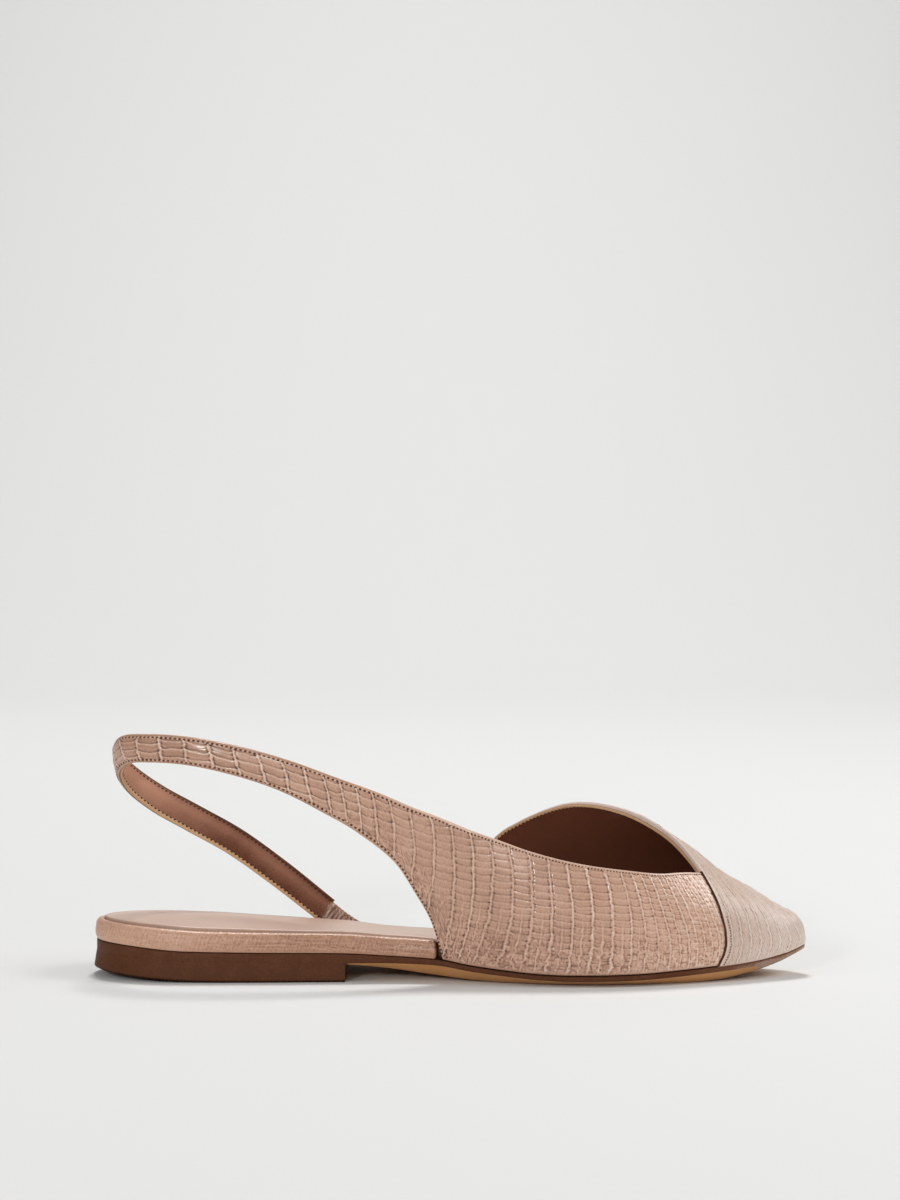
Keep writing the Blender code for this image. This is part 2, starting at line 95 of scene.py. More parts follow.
vampEdgeTable = makeTable("share x", [
    (-1.0, 227.2), (-0.92, 229.3), (-0.84, 230.1), (-0.76, 229.9), (-0.66, 228.9), (-0.54, 227.1),
    (-0.33, 221.3), (-0.16, 215.4), (0.0, 208.8), (0.133, 197.6), (0.25, 187.4), (0.366, 177.2),
    (0.5, 165.8), (0.592, 156.9), (0.66, 150.2), (0.73, 145.0), (0.82, 140.8), (1.0, 136.0),
])

quarterTable = makeTable("step lowX lowZ topX topZ", [
    (0, 227.2, 0, 221.3, 39.0), (1, 214.0, 0, 209.5, 38.6), (2, 195.0, 0, 193.0, 40.6),
    (3, 175.0, 0, 177.0, 43.3), (4, 156.5, 0, 161.0, 47.4), (5, 141.5, 0, 148.0, 51.9),
    (6, 133.0, 0, 138.0, 55.3), (7, 123.9, 23.0, 129.0, 58.9), (8, 113.2, 40.6, 118.4, 62.8),
])

slingTable = makeTable("step x y z width lean", [
    (0, 101.5, -22.9, 61.2, 16.2, -3), (1, 87.5, -23.2, 67.8, 13.4, -2), (2, 71.0, -22.9, 74.9, 11.4, 0),
    (3, 53.5, -21.9, 80.2, 10.6, 0), (4, 36.0, -19.4, 83.5, 10.2, 0), (5, 22.0, -14.6, 84.1, 10.2, 2),
    (6, 12.6, -7.0, 82.8, 10.4, 6), (7, 9.6, 1.2, 77.8, 10.4, 12), (8, 13.0, 9.0, 71.2, 10.5, 16),
    (9, 21.5, 15.2, 63.5, 10.6, 17), (10, 34.0, 19.9, 55.7, 10.6, 16), (11, 50.0, 23.2, 46.2, 10.5, 13),
    (12, 66.0, 25.2, 34.4, 10.3, 9), (13, 84.5, 27.2, 19.4, 9.8, 4),
])


def curveThrough(knots, values, at, flat=True):
    # cubic pieces between the knots; with flat each slope is the harmonic mean of its neighbours, so that the
    # curve never overshoots
    knots, values, at = (np.asarray(a, float) for a in (knots, values, at))
    span = np.diff(knots)
    slope = np.diff(values) / span
    before, after = span[:-1], span[1:]
    tangent = np.zeros_like(values)
    tangent[0], tangent[-1] = slope[0], slope[-1]
    if flat:
        agree = slope[:-1] * slope[1:] > 0
        left, right = np.where(agree, slope[:-1], 1.0), np.where(agree, slope[1:], 1.0)
        near, far = 2 * after + before, after + 2 * before
        tangent[1:-1] = np.where(agree, (near + far) / (near / left + far / right), 0.0)
    else:
        tangent[1:-1] = (slope[:-1] * after + slope[1:] * before) / (before + after)
    k = np.clip(np.searchsorted(knots, at) - 1, 0, len(span) - 1)
    t = (at - knots[k]) / span[k]
    return (
        values[k] * (1 + 2 * t) * (1 - t) ** 2 + tangent[k] * span[k] * t * (1 - t) ** 2
        + values[k + 1] * t * t * (3 - 2 * t) + tangent[k + 1] * span[k] * t * t * (t - 1)
    )


def readTable(table, name, at, flat=True):
    # a named column as a smooth curve over the table's first column
    return curveThrough(next(iter(table.values())), table[name], at, flat)


def unit(vectors):
    # each vector divided by its length
    return vectors / np.maximum(np.linalg.norm(vectors, axis=-1, keepdims=True), 1e-9)


def ease(value, low, high):
    # 0 below low, 1 above high, a smooth step between
    t = np.clip((value - low) / (high - low), 0, 1)
    return t * t * (3 - 2 * t)


def bell(distance, reach):
    # 1 at no distance, falling off with the square of distance over reach
    return np.exp(-(distance / reach) ** 2)


def softNoise(a, b, seed, cells=64):
    # a random height from -1 to 1 at each whole (a, b), blended smoothly over the unit square between
    heights = np.random.default_rng(seed).uniform(-1, 1, (cells, cells))
    wholeA, wholeB = np.floor(a).astype(int), np.floor(b).astype(int)
    partA, partB = ease(a - wholeA, 0, 1), ease(b - wholeB, 0, 1)
    corner = [[heights[(wholeA + i) % cells, (wholeB + j) % cells] for j in (0, 1)] for i in (0, 1)]
    low = corner[0][0] * (1 - partA) + corner[1][0] * partA
    high = corner[0][1] * (1 - partA) + corner[1][1] * partA
    return low * (1 - partB) + high * partB


def pickRandom(index, seed, low, high, count=997):
    # one fixed random number for each whole index
    return np.random.default_rng(seed).uniform(low, high, count)[index % count]


def rounded(distance, reach, least=0.1):
    # quarter circle: share of full width at a distance from a round end
    share = np.clip(distance, least, reach) / reach
    return np.sqrt(1 - (1 - share) ** 2)


def soleEdges(x, inset=0.0, start=0.0, end=shoe["length"], least=0.1):
    # half width less the inset, times a quarter circle at both ends, either side of the middle line
    inner, outer = readTable(soleTable, "inner", x), readTable(soleTable, "outer", x)
    middle, half = (outer - inner) / 2, (outer + inner) / 2 - inset
    half = half * rounded(x - start, shoe["heelRound"], least) * rounded(end - x, shoe["toeRound"], least)
    return middle - half, middle + half


def soleTilt(x, y, board=0.0):
    # drop from the inner to the outer edge, shared out evenly across
    inner, outer = readTable(soleTable, "inner", x), readTable(soleTable, "outer", x)
    drop = readTable(soleTable, "drop", x) + board * readTable(boardTable, "drop", x)
    return drop * np.clip((y + inner) / (inner + outer), 0, 1)


def lastPoint(x, share):
    # inner face of the upper: a squared half ellipse over each section plus a swell of its side walls
    end = shoe["length"] - last["vampWall"]
    inner, outer = soleEdges(x, last["upperInset"] + last["vampWall"], end=end, least=0.0)
    foot = np.where(share < 0, inner, outer)
    rise = (1 - np.abs(share)) * math.pi / 2
    nose = rounded(end - x, shoe["toeRound"], 0.0)
    swell = readTable(crestTable, "swell", x) * nose
    ahead = np.clip((x - last["noseClearFrom"]) / (end - last["noseClearFrom"]), 0, 1)
    feather = readTable(soleTable, "top", x) - soleTilt(x, foot)
    feather = feather + shoe["gap"] + last["swellClear"] * swell + last["noseClear"] * ahead
    crestY = (inner + outer) / 2 * (1 - nose) + readTable(crestTable, "y", x) * nose
    crestZ = readTable(crestTable, "z", x) - last["noseHeight"]
    crestZ = last["noseHeight"] + crestZ * rounded(end - x, last["noseRound"], 0.0)
    y = crestY + (foot - crestY) * np.cos(rise) ** last["sectionPower"]
    y = y + np.sign(share) * swell * np.sin(2 * rise)
    z = feather + (crestZ - feather) * np.sin(rise) ** last["sectionPower"]
    return np.stack(np.broadcast_arrays(x, y, z), -1)


def innerWall(x, z):
    # the share whose height on the section at x is z, put back into lastPoint
    feather = lastPoint(x, np.full_like(x, -1.0))[..., 2]
    crest = lastPoint(x, np.zeros_like(x))[..., 2]
    share = np.clip((z - feather) / (crest - feather), 0, 1) ** (1 / last["sectionPower"])
    return lastPoint(x, np.arcsin(share) / (math.pi / 2) - 1)


# Mesh making

def gridQuads(rows, columns, closed=False):
    # corner numbers of the quads between neighbouring rows; with closed each row is a ring
    r, c = np.meshgrid(np.arange(rows - 1), np.arange(columns if closed else columns - 1), indexing="ij")
    beside = (c + 1) % columns
    corners = [r * columns + c, (r + 1) * columns + c, (r + 1) * columns + beside, r * columns + beside]
    return np.stack(corners, -1).reshape(-1, 4)


def gridFrame(grid):
    # unit tangents along both grid directions and their cross product
    first, second = unit(np.gradient(grid, axis=0)), unit(np.gradient(grid, axis=1))
    return first, second, unit(np.cross(first, second))


def patch(points, tone=0.0, flip=False, closed=False):
    # a grid of points with its colour tone, ready to be joined into a piece
    quads = gridQuads(*points.shape[:2], closed)
    return {
        "points": points.reshape(-1, 3),
        "quads": quads[:, ::-1] if flip else quads,
        "tone": np.broadcast_to(tone, points.shape[:2]).reshape(-1),
    }


def makePiece(name, patches, material, nodes=(), weld=2e-6, sharp=None):
    # patches joined into one mesh: corners that agree to within the weld, in metres, become one, and a quad that
    # loses a corner by it becomes a triangle
    counts = np.cumsum([0] + [len(p["points"]) for p in patches])
    points = np.concatenate([p["points"] for p in patches])
    quads = np.concatenate([p["quads"] + first for p, first in zip(patches, counts)])
    points = (points + np.array(shoe["shift"])) * shoe["metres"]
    tone = np.concatenate([p["tone"] for p in patches])
    if weld:
        key = np.round(points / weld).astype(np.int64)
        keep, which = np.unique(key, axis=0, return_index=True, return_inverse=True)[1:]
        points, tone, quads = points[keep], tone[keep], which.reshape(-1)[quads]
    double = [quads[:, k] == quads[:, (k + 1) % 4] for k in range(4)]
    lost = np.sum(double, axis=0)
    whole, cut = quads[lost == 0], quads[lost == 1]
    gone = np.argmax(np.array(double)[:, lost == 1], axis=0) if len(cut) else np.zeros(0, int)
    order = (gone[:, None] + 1 + np.arange(3)) % 4
    triangles = np.take_along_axis(cut, order, 1) if len(cut) else np.zeros((0, 3), int)
    corners = np.concatenate([whole.ravel(), triangles.ravel()])
    starts = np.concatenate([np.arange(len(whole)) * 4, whole.size + np.arange(len(triangles)) * 3])
    mesh = bpy.data.meshes.new(name)
    mesh.vertices.add(len(points))
    mesh.vertices.foreach_set("co", points.astype(np.float32).ravel())
    mesh.loops.add(len(corners))
    mesh.loops.foreach_set("vertex_index", corners.astype(np.int32))
    mesh.polygons.add(len(starts))
    mesh.polygons.foreach_set("loop_start", starts.astype(np.int32))
    mesh.update(calc_edges=True)
    mesh.validate()
    mesh.shade_smooth()
    if sharp:
        mesh.set_sharp_from_angle(angle=math.radians(sharp))
    mesh.attributes.new("tone", "FLOAT", "POINT").data.foreach_set("value", tone.astype(np.float32))
    mesh.materials.append(material)
    piece = bpy.data.objects.new(name, mesh)
    bpy.context.scene.collection.objects.link(piece)
    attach(piece, "root")
    if nodes:
        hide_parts(*nodes)
    print("made", name, len(whole) * 2 + len(triangles), "triangles")


def runningSum(steps, axis=0):
    # sums along an axis, beginning with zero
    return np.concatenate([np.zeros_like(np.take(steps, [0], axis)), np.cumsum(steps, axis=axis)], axis=axis)


def travelAlong(path, axis=0):
    # distance walked along a path, or along every line of a grid, at each point
    return runningSum(np.linalg.norm(np.diff(path, axis=axis), axis=-1), axis)


def carried(values, travel, at):
    # vectors known at some travelled distances, read off between them
    return np.stack([np.interp(at, travel, values[:, k]) for k in range(3)], -1)


def evenly(path, pitch):
    # points an even pitch apart along a path
    travel = travelAlong(path)
    count = max(2, int(round(travel[-1] / pitch)) + 1)
    return carried(path, travel, np.linspace(0, travel[-1], count))


# Materials

def makeMaterial(name, sockets):
    # a Principled material with values on its own sockets
    material = bpy.data.materials.new(name)
    material.use_nodes = True
    shader = material.node_tree.nodes["Principled BSDF"]
    for socket, value in sockets.items():
        shader.inputs[socket].default_value = value
    return material, material.node_tree, shader


def addNode(tree, kind, **values):
    # a shader node with each value set on the setting or the socket of that name
    node = tree.nodes.new("ShaderNode" + kind)
    for name, value in values.items():
        if hasattr(node, name):
            setattr(node, name, value)
        else:
            node.inputs[name.replace("_", " ")].default_value = value
    return node


def rampColours(ramp, stops):
    # stops are (place, linear colour), dark to light
    while len(ramp.color_ramp.elements) < len(stops):
        ramp.color_ramp.elements.new(0.5)
    for element, (place, colour) in zip(ramp.color_ramp.elements, stops):
        element.position = place
        element.color = (*colour, 1.0)


def tonedMaterial(finish):
    # colour: the tone attribute through a ramp, shaded a little by two cloud noises; bump: fine pores
    sockets = {name: value for name, value in finish.items() if name[0].isupper()}
    rough, spread = finish["roughness"], finish["roughSpread"]
    material, tree, shader = makeMaterial(finish["name"], {"Roughness": rough, **sockets})
    link = tree.links.new
    place = addNode(tree, "TexCoord")
    tone = addNode(tree, "Attribute", attribute_name="tone")
    cloud = addNode(tree, "TexNoise", Scale=finish["cloudScale"], Detail=4.0, Roughness=0.6)
    grain = addNode(tree, "TexNoise", Scale=finish["grainScale"], Detail=3.0, Roughness=0.55)
    stretch = addNode(tree, "Mapping", Scale=finish.get("stretch", (1.0, 1.0, 1.0)))
    link(place.outputs["Object"], cloud.inputs["Vector"])
    link(place.outputs["Object"], stretch.inputs["Vector"])
    link(stretch.outputs["Vector"], grain.inputs["Vector"])
    total = tone.outputs["Fac"]
    for noise, share in ((cloud, finish["cloudShare"]), (grain, finish["grainShare"])):
        add = addNode(tree, "Math", operation="MULTIPLY_ADD")
        add.inputs[1].default_value = share
        link(noise.outputs["Fac"], add.inputs[0])
        link(total, add.inputs[2])
        total = add.outputs[0]
    half = (finish["cloudShare"] + finish["grainShare"]) / 2
    shade = addNode(tree, "MapRange", From_Min=half - 1.0, From_Max=half + 1.0)
    link(total, shade.inputs["Value"])
    ramp = addNode(tree, "ValToRGB")
    rampColours(ramp, finish["stops"])
    link(shade.outputs["Result"], ramp.inputs["Fac"])
    link(ramp.outputs["Color"], shader.inputs["Base Color"])
    gloss = addNode(tree, "MapRange", To_Min=rough + spread, To_Max=rough - spread)
    link(shade.outputs["Result"], gloss.inputs["Value"])
    link(gloss.outputs["Result"], shader.inputs["Roughness"])
    bump = addNode(tree, "Bump", Strength=finish["bump"], Distance=0.0001)
    link(grain.outputs["Fac"], bump.inputs["Height"])
    link(bump.outputs["Normal"], shader.inputs["Normal"])
    return material


lizardFinish = {
    "name": "lizardLeather", "roughness": 0.38, "roughSpread": 0.10, "Coat Weight": 0.80, "Coat Roughness": 0.16,
    "cloudScale": 90.0, "cloudShare": 0.35, "grainScale": 2200.0, "grainShare": 0.7, "bump": 0.30,
    "stretch": (1.0, 1.0, 0.35),
    "stops": [
        (0.0, (0.100, 0.034, 0.016)), (0.30, (0.350, 0.172, 0.104)), (0.52, (0.580, 0.330, 0.222)),
        (0.74, (0.720, 0.480, 0.362)), (1.0, (0.870, 0.720, 0.625)),
    ],
}
# the vamp's copy of the lizard leather, its lighter stops greyer: a painted sheen
vampFinish = {
    **lizardFinish, "name": "vampLeather", "Coat Weight": 0.20,
    "stops": [
        (0.0, (0.165, 0.092, 0.064)), (0.30, (0.400, 0.262, 0.196)), (0.52, (0.615, 0.450, 0.362)),
        (0.74, (0.720, 0.598, 0.528)), (1.0, (0.860, 0.785, 0.735)),
    ],
}
randFinish = {**lizardFinish, "name": "randLeather", "Coat Weight": 0.15, "Specular IOR Level": 0.35}
liningFinish = {
    "name": "liningLeather", "roughness": 0.50, "roughSpread": 0.06, "Specular IOR Level": 0.15,
    "cloudScale": 60.0, "cloudShare": 0.5, "grainScale": 1400.0, "grainShare": 0.3, "bump": 0.15,
    "stops": [(0.0, (0.045, 0.013, 0.006)), (0.5, (0.130, 0.042, 0.021)), (1.0, (0.560, 0.280, 0.182))],
}
rawEdgeFinish = {
    "name": "rawLeatherEdge", "roughness": 0.75, "roughSpread": 0.05,
    "cloudScale": 300.0, "cloudShare": 0.5, "grainScale": 2500.0, "grainShare": 0.6, "bump": 0.4,
    "stops": [(0.0, (0.310, 0.145, 0.062)), (0.5, (0.610, 0.350, 0.180)), (1.0, (0.760, 0.520, 0.310))],
}
darkEdgeFinish = {
    "name": "paintedEdge", "roughness": 0.55, "roughSpread": 0.05, "Specular IOR Level": 0.12,
    "cloudScale": 120.0, "cloudShare": 0.5, "grainScale": 1100.0, "grainShare": 0.6, "bump": 0.30,
    "stops": [
        (0.0, (0.016, 0.005, 0.002)), (0.5, (0.104, 0.036, 0.015)), (0.75, (0.180, 0.080, 0.046)),
        (1.0, (0.460, 0.320, 0.250)),
    ],
}
threadFinish = {
    "name": "roseThread", "roughness": 0.50, "roughSpread": 0.05,
    "cloudScale": 400.0, "cloudShare": 0.6, "grainScale": 3000.0, "grainShare": 0.4, "bump": 0.2,
    "stops": [(0.0, (0.360, 0.210, 0.145)), (0.5, (0.640, 0.450, 0.350)), (1.0, (0.800, 0.640, 0.540))],
}
brownThreadFinish = {
    "name": "brownThread", "roughness": 0.55, "roughSpread": 0.05,
    "cloudScale": 400.0, "cloudShare": 0.6, "grainScale": 3000.0, "grainShare": 0.4, "bump": 0.2,
    "stops": [(0.0, (0.008, 0.003, 0.001)), (0.5, (0.022, 0.007, 0.003)), (1.0, (0.070, 0.030, 0.016))],
}
sockFinish = {
    "name": "sockLeather", "roughness": 0.45, "roughSpread": 0.06, "Coat Weight": 0.10, "Coat Roughness": 0.35,
    "cloudScale": 45.0, "cloudShare": 0.4, "grainScale": 1300.0, "grainShare": 0.25, "bump": 0.12,
    "stops": [(0.0, (0.270, 0.130, 0.075)), (0.5, (0.610, 0.430, 0.340)), (1.0, (0.760, 0.600, 0.500))],
}
heelFinish = {
    "name": "heelBrown", "roughness": 0.55, "roughSpread": 0.05, "Specular IOR Level": 0.12,
    "cloudScale": 120.0, "cloudShare": 0.5, "grainScale": 1100.0, "grainShare": 0.6, "bump": 0.35,
    "stops": [(0.0, (0.016, 0.005, 0.002)), (0.5, (0.104, 0.036, 0.015)), (1.0, (0.220, 0.100, 0.054))],
}
treadFinish = {
    "name": "soleTan", "roughness": 0.5, "roughSpread": 0.06,
    "cloudScale": 70.0, "cloudShare": 0.5, "grainScale": 900.0, "grainShare": 0.3, "bump": 0.2,
    "stops": [(0.0, (0.280, 0.115, 0.035)), (0.5, (0.580, 0.285, 0.100)), (1.0, (0.740, 0.430, 0.190))],
}
elasticFinish = {
    "name": "elasticWeave", "roughness": 0.7, "roughSpread": 0.06, "Sheen Weight": 0.3,
    "cloudScale": 200.0, "cloudShare": 0.4, "grainScale": 2600.0, "grainShare": 0.5, "bump": 0.4,
    "stops": [(0.0, (0.100, 0.042, 0.026)), (0.5, (0.430, 0.255, 0.185)), (1.0, (0.820, 0.680, 0.580))],
}

lizardLeather = tonedMaterial(lizardFinish)
vampLeather = tonedMaterial(vampFinish)
randLeather = tonedMaterial(randFinish)
liningLeather = tonedMaterial(liningFinish)
rawLeatherEdge = tonedMaterial(rawEdgeFinish)
paintedEdge = tonedMaterial(darkEdgeFinish)
roseThread = tonedMaterial(threadFinish)
brownThread = tonedMaterial(brownThreadFinish)
sockLeather = tonedMaterial(sockFinish)
heelBrown = tonedMaterial(heelFinish)
soleTan = tonedMaterial(treadFinish)
elasticWeave = tonedMaterial(elasticFinish)
print("materials made")


# Lizard emboss

emboss = {
    "ribWidth": 0.36, "ribShare": 0.055, "ribLeast": 0.26, "halfShare": 0.045, "halfWidths": (0.22, 0.32),
    "flankAt": 0.68, "flankWidth": 0.26, "rowDark": 0.22, "rowLight": 0.22, "ribWander": 0.05, "jag": 0.035,
    "crumbleJag": 0.06, "rowWander": 0.12, "meshWander": 0.15, "rowBend": 0.18, "bendReach": 1.1, "rowReach": 1.9,
    "darkAt": 0.10, "lightAt": 0.30, "faintWidth": 0.2, "faintLight": 0.35, "pitAt": 0.62, "pitReach": 0.30,
    "crackReach": 0.20, "glowAt": 0.45,
}
# number of the draw and its size along and up
embossGrain = {"wander": (0, 8.0, 6.0), "jag": (1, 1.8, 1.3), "row": (3, 3.0, 3.0), "crack": (7, 1.05, 0.9)}
# number of the draw, least and most
embossChance = {
    "shift": (2, 0, 1), "row": (4, 0.45, 1.0), "rib": (5, 0.65, 1.1), "half": (6, 0.5, 0.9), "cell": (8, -1, 1),
    "pit": (10, 0.0, 1.0), "faint": (13, 0.0, 0.55),
}
embossHeight = {
    "rib": 0.28, "flank": -0.12, "light": 0.09, "groove": -0.13, "pit": -0.12, "crack": -0.08, "glow": 0.05,
}
# tone of each mark: the light ribs, ridges and glow and the dark flanks, grooves, pits and cracks are the
# leather's pattern and also paint the relief's highlights and shade
embossTone = {
    "rib": 0.50, "flank": -0.46, "dark": -0.52, "light": 0.46, "pit": -0.60, "crack": -0.62, "glow": 0.30,
    "cell": 0.05,
}


def ribBand(off, width):
    # a flat raised band round off = 0 and the line along both its flanks
    scale = width / emboss["ribWidth"]
    flank = bell(np.abs(off) - emboss["flankAt"] * scale, emboss["flankWidth"] * scale ** 0.5)
    return np.exp(-(off / width) ** 4), flank


def lizardRelief(
    ribs, ribPitch, rowsOf, a, b, strength, double, crumble, seed, ridge=1.0, mesh=0.0, swell=0.05,
):
    # ribs are raised bands at whole rib counts, beaded and nicked along both flanks; rows are grooves at whole row
    # counts, shifted by chance in every column, dark above and light below, deepest beside the ribs, with fainter
    # ones halfway and a parabola of leather, swell high, between; pits sit where both meet, second ribs halfway
    # where double is 1, and crumble adds a net of fine cracks and makes the ribs zigzag; rowsOf gives row counts
    # and their spacing, ridge sharpens the rows, and where mesh is 1 the rows run on from column to column, wide
    # and even, and the ribs lose their dark flanks; height and tone are weighted sums of these marks

    def grain(name):
        draw, along, up = embossGrain[name]
        return softNoise(a / along, b / up, seed + draw)

    def chance(name, index):
        draw, least, most = embossChance[name]
        return pickRandom(index, seed + draw, least, most)

    wander = emboss["ribWander"] * grain("wander")
    wander = wander + (emboss["jag"] + emboss["crumbleJag"] * crumble) * grain("jag")
    count = ribs + wander
    rib, column = np.round(count).astype(int), np.floor(count).astype(int)
    off = (count - rib) * ribPitch
    width = np.clip(emboss["ribShare"] * ribPitch, emboss["ribLeast"], 1.3 * emboss["ribWidth"])
    top, flank = ribBand(off, width)
    side = np.where(off > 0, 1.0, 0.0)
    top = top * chance("rib", rib) * (0.80 + 0.30 * softNoise(rib * 2.3, b / 0.9, seed + 12))
    nick = ease(softNoise(rib * 3.7 + side * 1.9, b / 0.55, seed + 9), -0.35, 0.55)
    offHalf = (count - column - 0.5) * ribPitch
    topHalf, flankHalf = ribBand(offHalf, np.clip(emboss["halfShare"] * ribPitch, *emboss["halfWidths"]))
    topHalf = topHalf * chance("half", column) * double
    bare = 1 - np.maximum(top, topHalf)
    beside = np.minimum(count - column, 1 - count + column) * ribPitch
    rows, rowPitch = rowsOf(column)
    rowCount = rows + chance("shift", column) * (1 - 0.75 * mesh)
    rowCount = rowCount + (emboss["rowWander"] + emboss["meshWander"] * mesh) * grain("row")
    rowCount = rowCount - emboss["rowBend"] * bell(beside, emboss["bendReach"]) * (1 - mesh)
    row, step = np.round(rowCount).astype(int), np.floor(rowCount)
    rowOff, middle = (rowCount - row) * rowPitch, rowCount - step - 0.5
    here = chance("row", row * 31 + column * 7) * (1 - 0.5 * crumble)
    clear = bare * here * (0.45 + 0.55 * np.maximum(mesh, bell(beside, emboss["rowReach"])))
    wide, soft = 0.08 * mesh, 1 - 0.35 * mesh
    dark = bell(rowOff - emboss["darkAt"], emboss["rowDark"] + wide) * clear * soft
    light = bell(rowOff + emboss["lightAt"] + 0.12 * mesh, emboss["rowLight"] + wide) * clear * soft
    faint = chance("faint", row * 23 + column * 11) * (1 - mesh) * clear
    dark = dark + faint * bell(middle * rowPitch, emboss["faintWidth"])
    light = light + faint * bell(middle * rowPitch + emboss["faintLight"], emboss["faintWidth"])
    flank = np.maximum(flank, 0.7 * flankHalf * double) * (0.20 + 0.80 * nick) * (1 - 0.75 * mesh)
    pit = bell(rowOff, emboss["pitReach"]) * bell(np.abs(off) - emboss["pitAt"], emboss["pitReach"])
    pit = pit * chance("pit", row * 41 + rib * 3) * (1 - mesh)
    net, raised = grain("crack"), np.maximum(top, 0.8 * topHalf)
    marks = {
        "rib": raised, "flank": flank, "dark": dark, "light": ridge * light, "groove": ridge * dark, "pit": pit,
        "crack": bell(net, emboss["crackReach"]) * crumble * bare,
        "glow": bell(net - emboss["glowAt"], emboss["crackReach"]) * crumble,
        "cell": chance("cell", row * 17 + column * 53),
    }
    # in the tone the light marks are partly painted highlight and the dark ones partly painted shade; ridge
    # brightens the light ridges into painted glints, and each cell lightens from one row line to the next, a
    # painted light
    height = sum(share * marks[name] for name, share in embossHeight.items())
    tone = sum(share * marks[name] for name, share in embossTone.items())
    pillow = (1 - 4 * middle ** 2) * (1 - crumble) * (1 - mesh) * (1 - raised)
    return strength * (height + swell * pillow), strength * (tone + 0.16 * middle * (1 - crumble))


rolled = {"turns": (22.5, 45.0, 67.5, 90.0), "depths": (0.75, 1.0)}
edgeRows = len(rolled["turns"]) + len(rolled["depths"])
clearColumn, innerColumn = 3, 12  # columns from an edge at which a face's direction is read
tanBand = {"shares": (0.0, 0.5, 1.0), "lifts": (0.05, 0.09, 0.02)}


def rolledEdge(edge, outward, beyond, radius, depth):
    # a quarter circle from the face over to the cut edge, then straight in through the leather in two steps
    turn = np.radians(rolled["turns"])[:, None, None]
    curl = edge + beyond * radius * np.sin(turn) - outward * radius * (1 - np.cos(turn))
    straight = np.array(rolled["depths"])[:, None, None] * depth
    return np.concatenate([curl, edge + beyond * radius - outward * straight])


def edgeStrip(innerEdge, outward, beyond, wall, near):
    # a shallow round along the cut edge, from a depth below the outer face down to the inner face
    profile = [
        (-0.35, near - 0.15), (-0.02, near + 0.05), (0.10, (near + wall) / 2), (0.0, wall - 0.1),
        (-0.3, wall + 0.04),
    ]
    return np.stack([innerEdge + outward * (wall - depth) + beyond * out for out, depth in profile])


def besideEdge(face, gapFromEdge, distance):
    # the line on a face at an even distance from its edge, found on every column
    k = np.argmax(gapFromEdge >= np.reshape(distance, (-1, 1)), axis=1)
    k = np.clip(k, 1, face.shape[1] - 1)
    rows = np.arange(len(face))
    near, far = gapFromEdge[rows, k - 1], gapFromEdge[rows, k]
    t = np.clip((distance - near) / np.maximum(far - near, 1e-6), 0, 1)[:, None]
    return face[rows, k - 1] * (1 - t) + face[rows, k] * t


def tanMargin(inside, outward, gapFromEdge, width):
    # a thin band of bare leather on the inner face beside its edge, arched by less than a tenth of a millimetre
    band = np.stack([besideEdge(inside, gapFromEdge, share * width) for share in tanBand["shares"]])
    return band - outward[:, clearColumn] * np.array(tanBand["lifts"])[:, None, None]


stitch = {
    "pitch": 1.80, "length": 0.62, "thick": 0.26, "flat": 0.8, "sink": 0.08, "slant": 14.0, "sides": 6,
    "places": (-0.5, -0.42, -0.2, 0.0, 0.2, 0.42, 0.5), "fatness": (0.0, 0.7, 1.0, 1.05, 1.0, 0.7, 0.0),
    "arch": (-0.3, -0.1, 0.1, 0.16, 0.1, -0.1, -0.3),
}
# awl holes are low domes in the dark edge colour: painted shade of the holes
awlHole = {
    "long": 0.34, "wide": 0.50, "sides": 8, "dome": (1.0, 0.75, 0.0), "rise": (-0.12, 0.10, 0.14), "tone": 0.2,
}


def ringTurns(sides):
    # even angles once round
    return np.linspace(0, 2 * math.pi, sides + 1)[:-1]


def stitchRow(path, outward, pitch, lift=0.0):
    # short arched threads at whole counts of the pitch along a path, with a small dark dome after each, the
    # painted shade of an awl hole
    travel = travelAlong(path)
    pitch = np.broadcast_to(pitch, travel.shape)
    count = runningSum(np.diff(travel) / (pitch[1:] + pitch[:-1]) * 2)
    at = np.interp(np.arange(int(count[-1]) + 1), count, travel)
    spot, out = carried(path, travel, at), unit(carried(outward, travel, at))
    pitch = np.interp(at, travel, pitch)
    size = (pitch / stitch["pitch"])[:, None, None, None]
    ahead = unit(np.gradient(spot, axis=0))
    side = unit(np.cross(out, ahead))
    slant = math.radians(stitch["slant"])
    lay = ahead * math.cos(slant) + side * math.sin(slant)
    beside = side * math.cos(slant) - ahead * math.sin(slant)
    along = np.array(stitch["places"]) * (pitch * stitch["length"])[:, None]
    fat = np.array(stitch["fatness"])[:, None] * stitch["thick"]
    arch = np.array(stitch["arch"])[:, None] - stitch["sink"] + lift
    turn = ringTurns(stitch["sides"])
    across, over = fat * np.cos(turn), arch + fat * np.sin(turn) * stitch["flat"]
    thread = (
        spot[:, None, None] + lay[:, None, None] * along[:, :, None, None]
        + beside[:, None, None] * across[None, ..., None] * size + out[:, None, None] * over[None, ..., None]
    )
    turn, dome = ringTurns(awlHole["sides"]), np.array(awlHole["dome"])[:, None]
    long, wide = dome * (np.cos(turn) * awlHole["long"]), dome * (np.sin(turn) * awlHole["wide"])
    hole = (
        ((spot[1:] + spot[:-1]) / 2)[:, None, None]
        + ahead[1:, None, None] * long[None, ..., None] * size[1:] * stitch["pitch"]
        + side[1:, None, None] * wide[None, ..., None] * size[1:]
        + out[1:, None, None] * np.array(awlHole["rise"])[None, :, None, None]
    )
    return manyPatches(thread, 0.0), manyPatches(hole, awlHole["tone"])


def manyPatches(copies, tone):
    # the same closed rings repeated for every copy
    number, rings, sides = copies.shape[:3]
    quads = gridQuads(rings, sides, closed=True)
    offset = np.arange(number)[:, None, None] * rings * sides
    return {
        "points": copies.reshape(-1, 3),
        "quads": (quads[None] + offset).reshape(-1, 4)[:, ::-1],
        "tone": np.full(number * rings * sides, tone),
    }


# Quarter and sling, cut in one

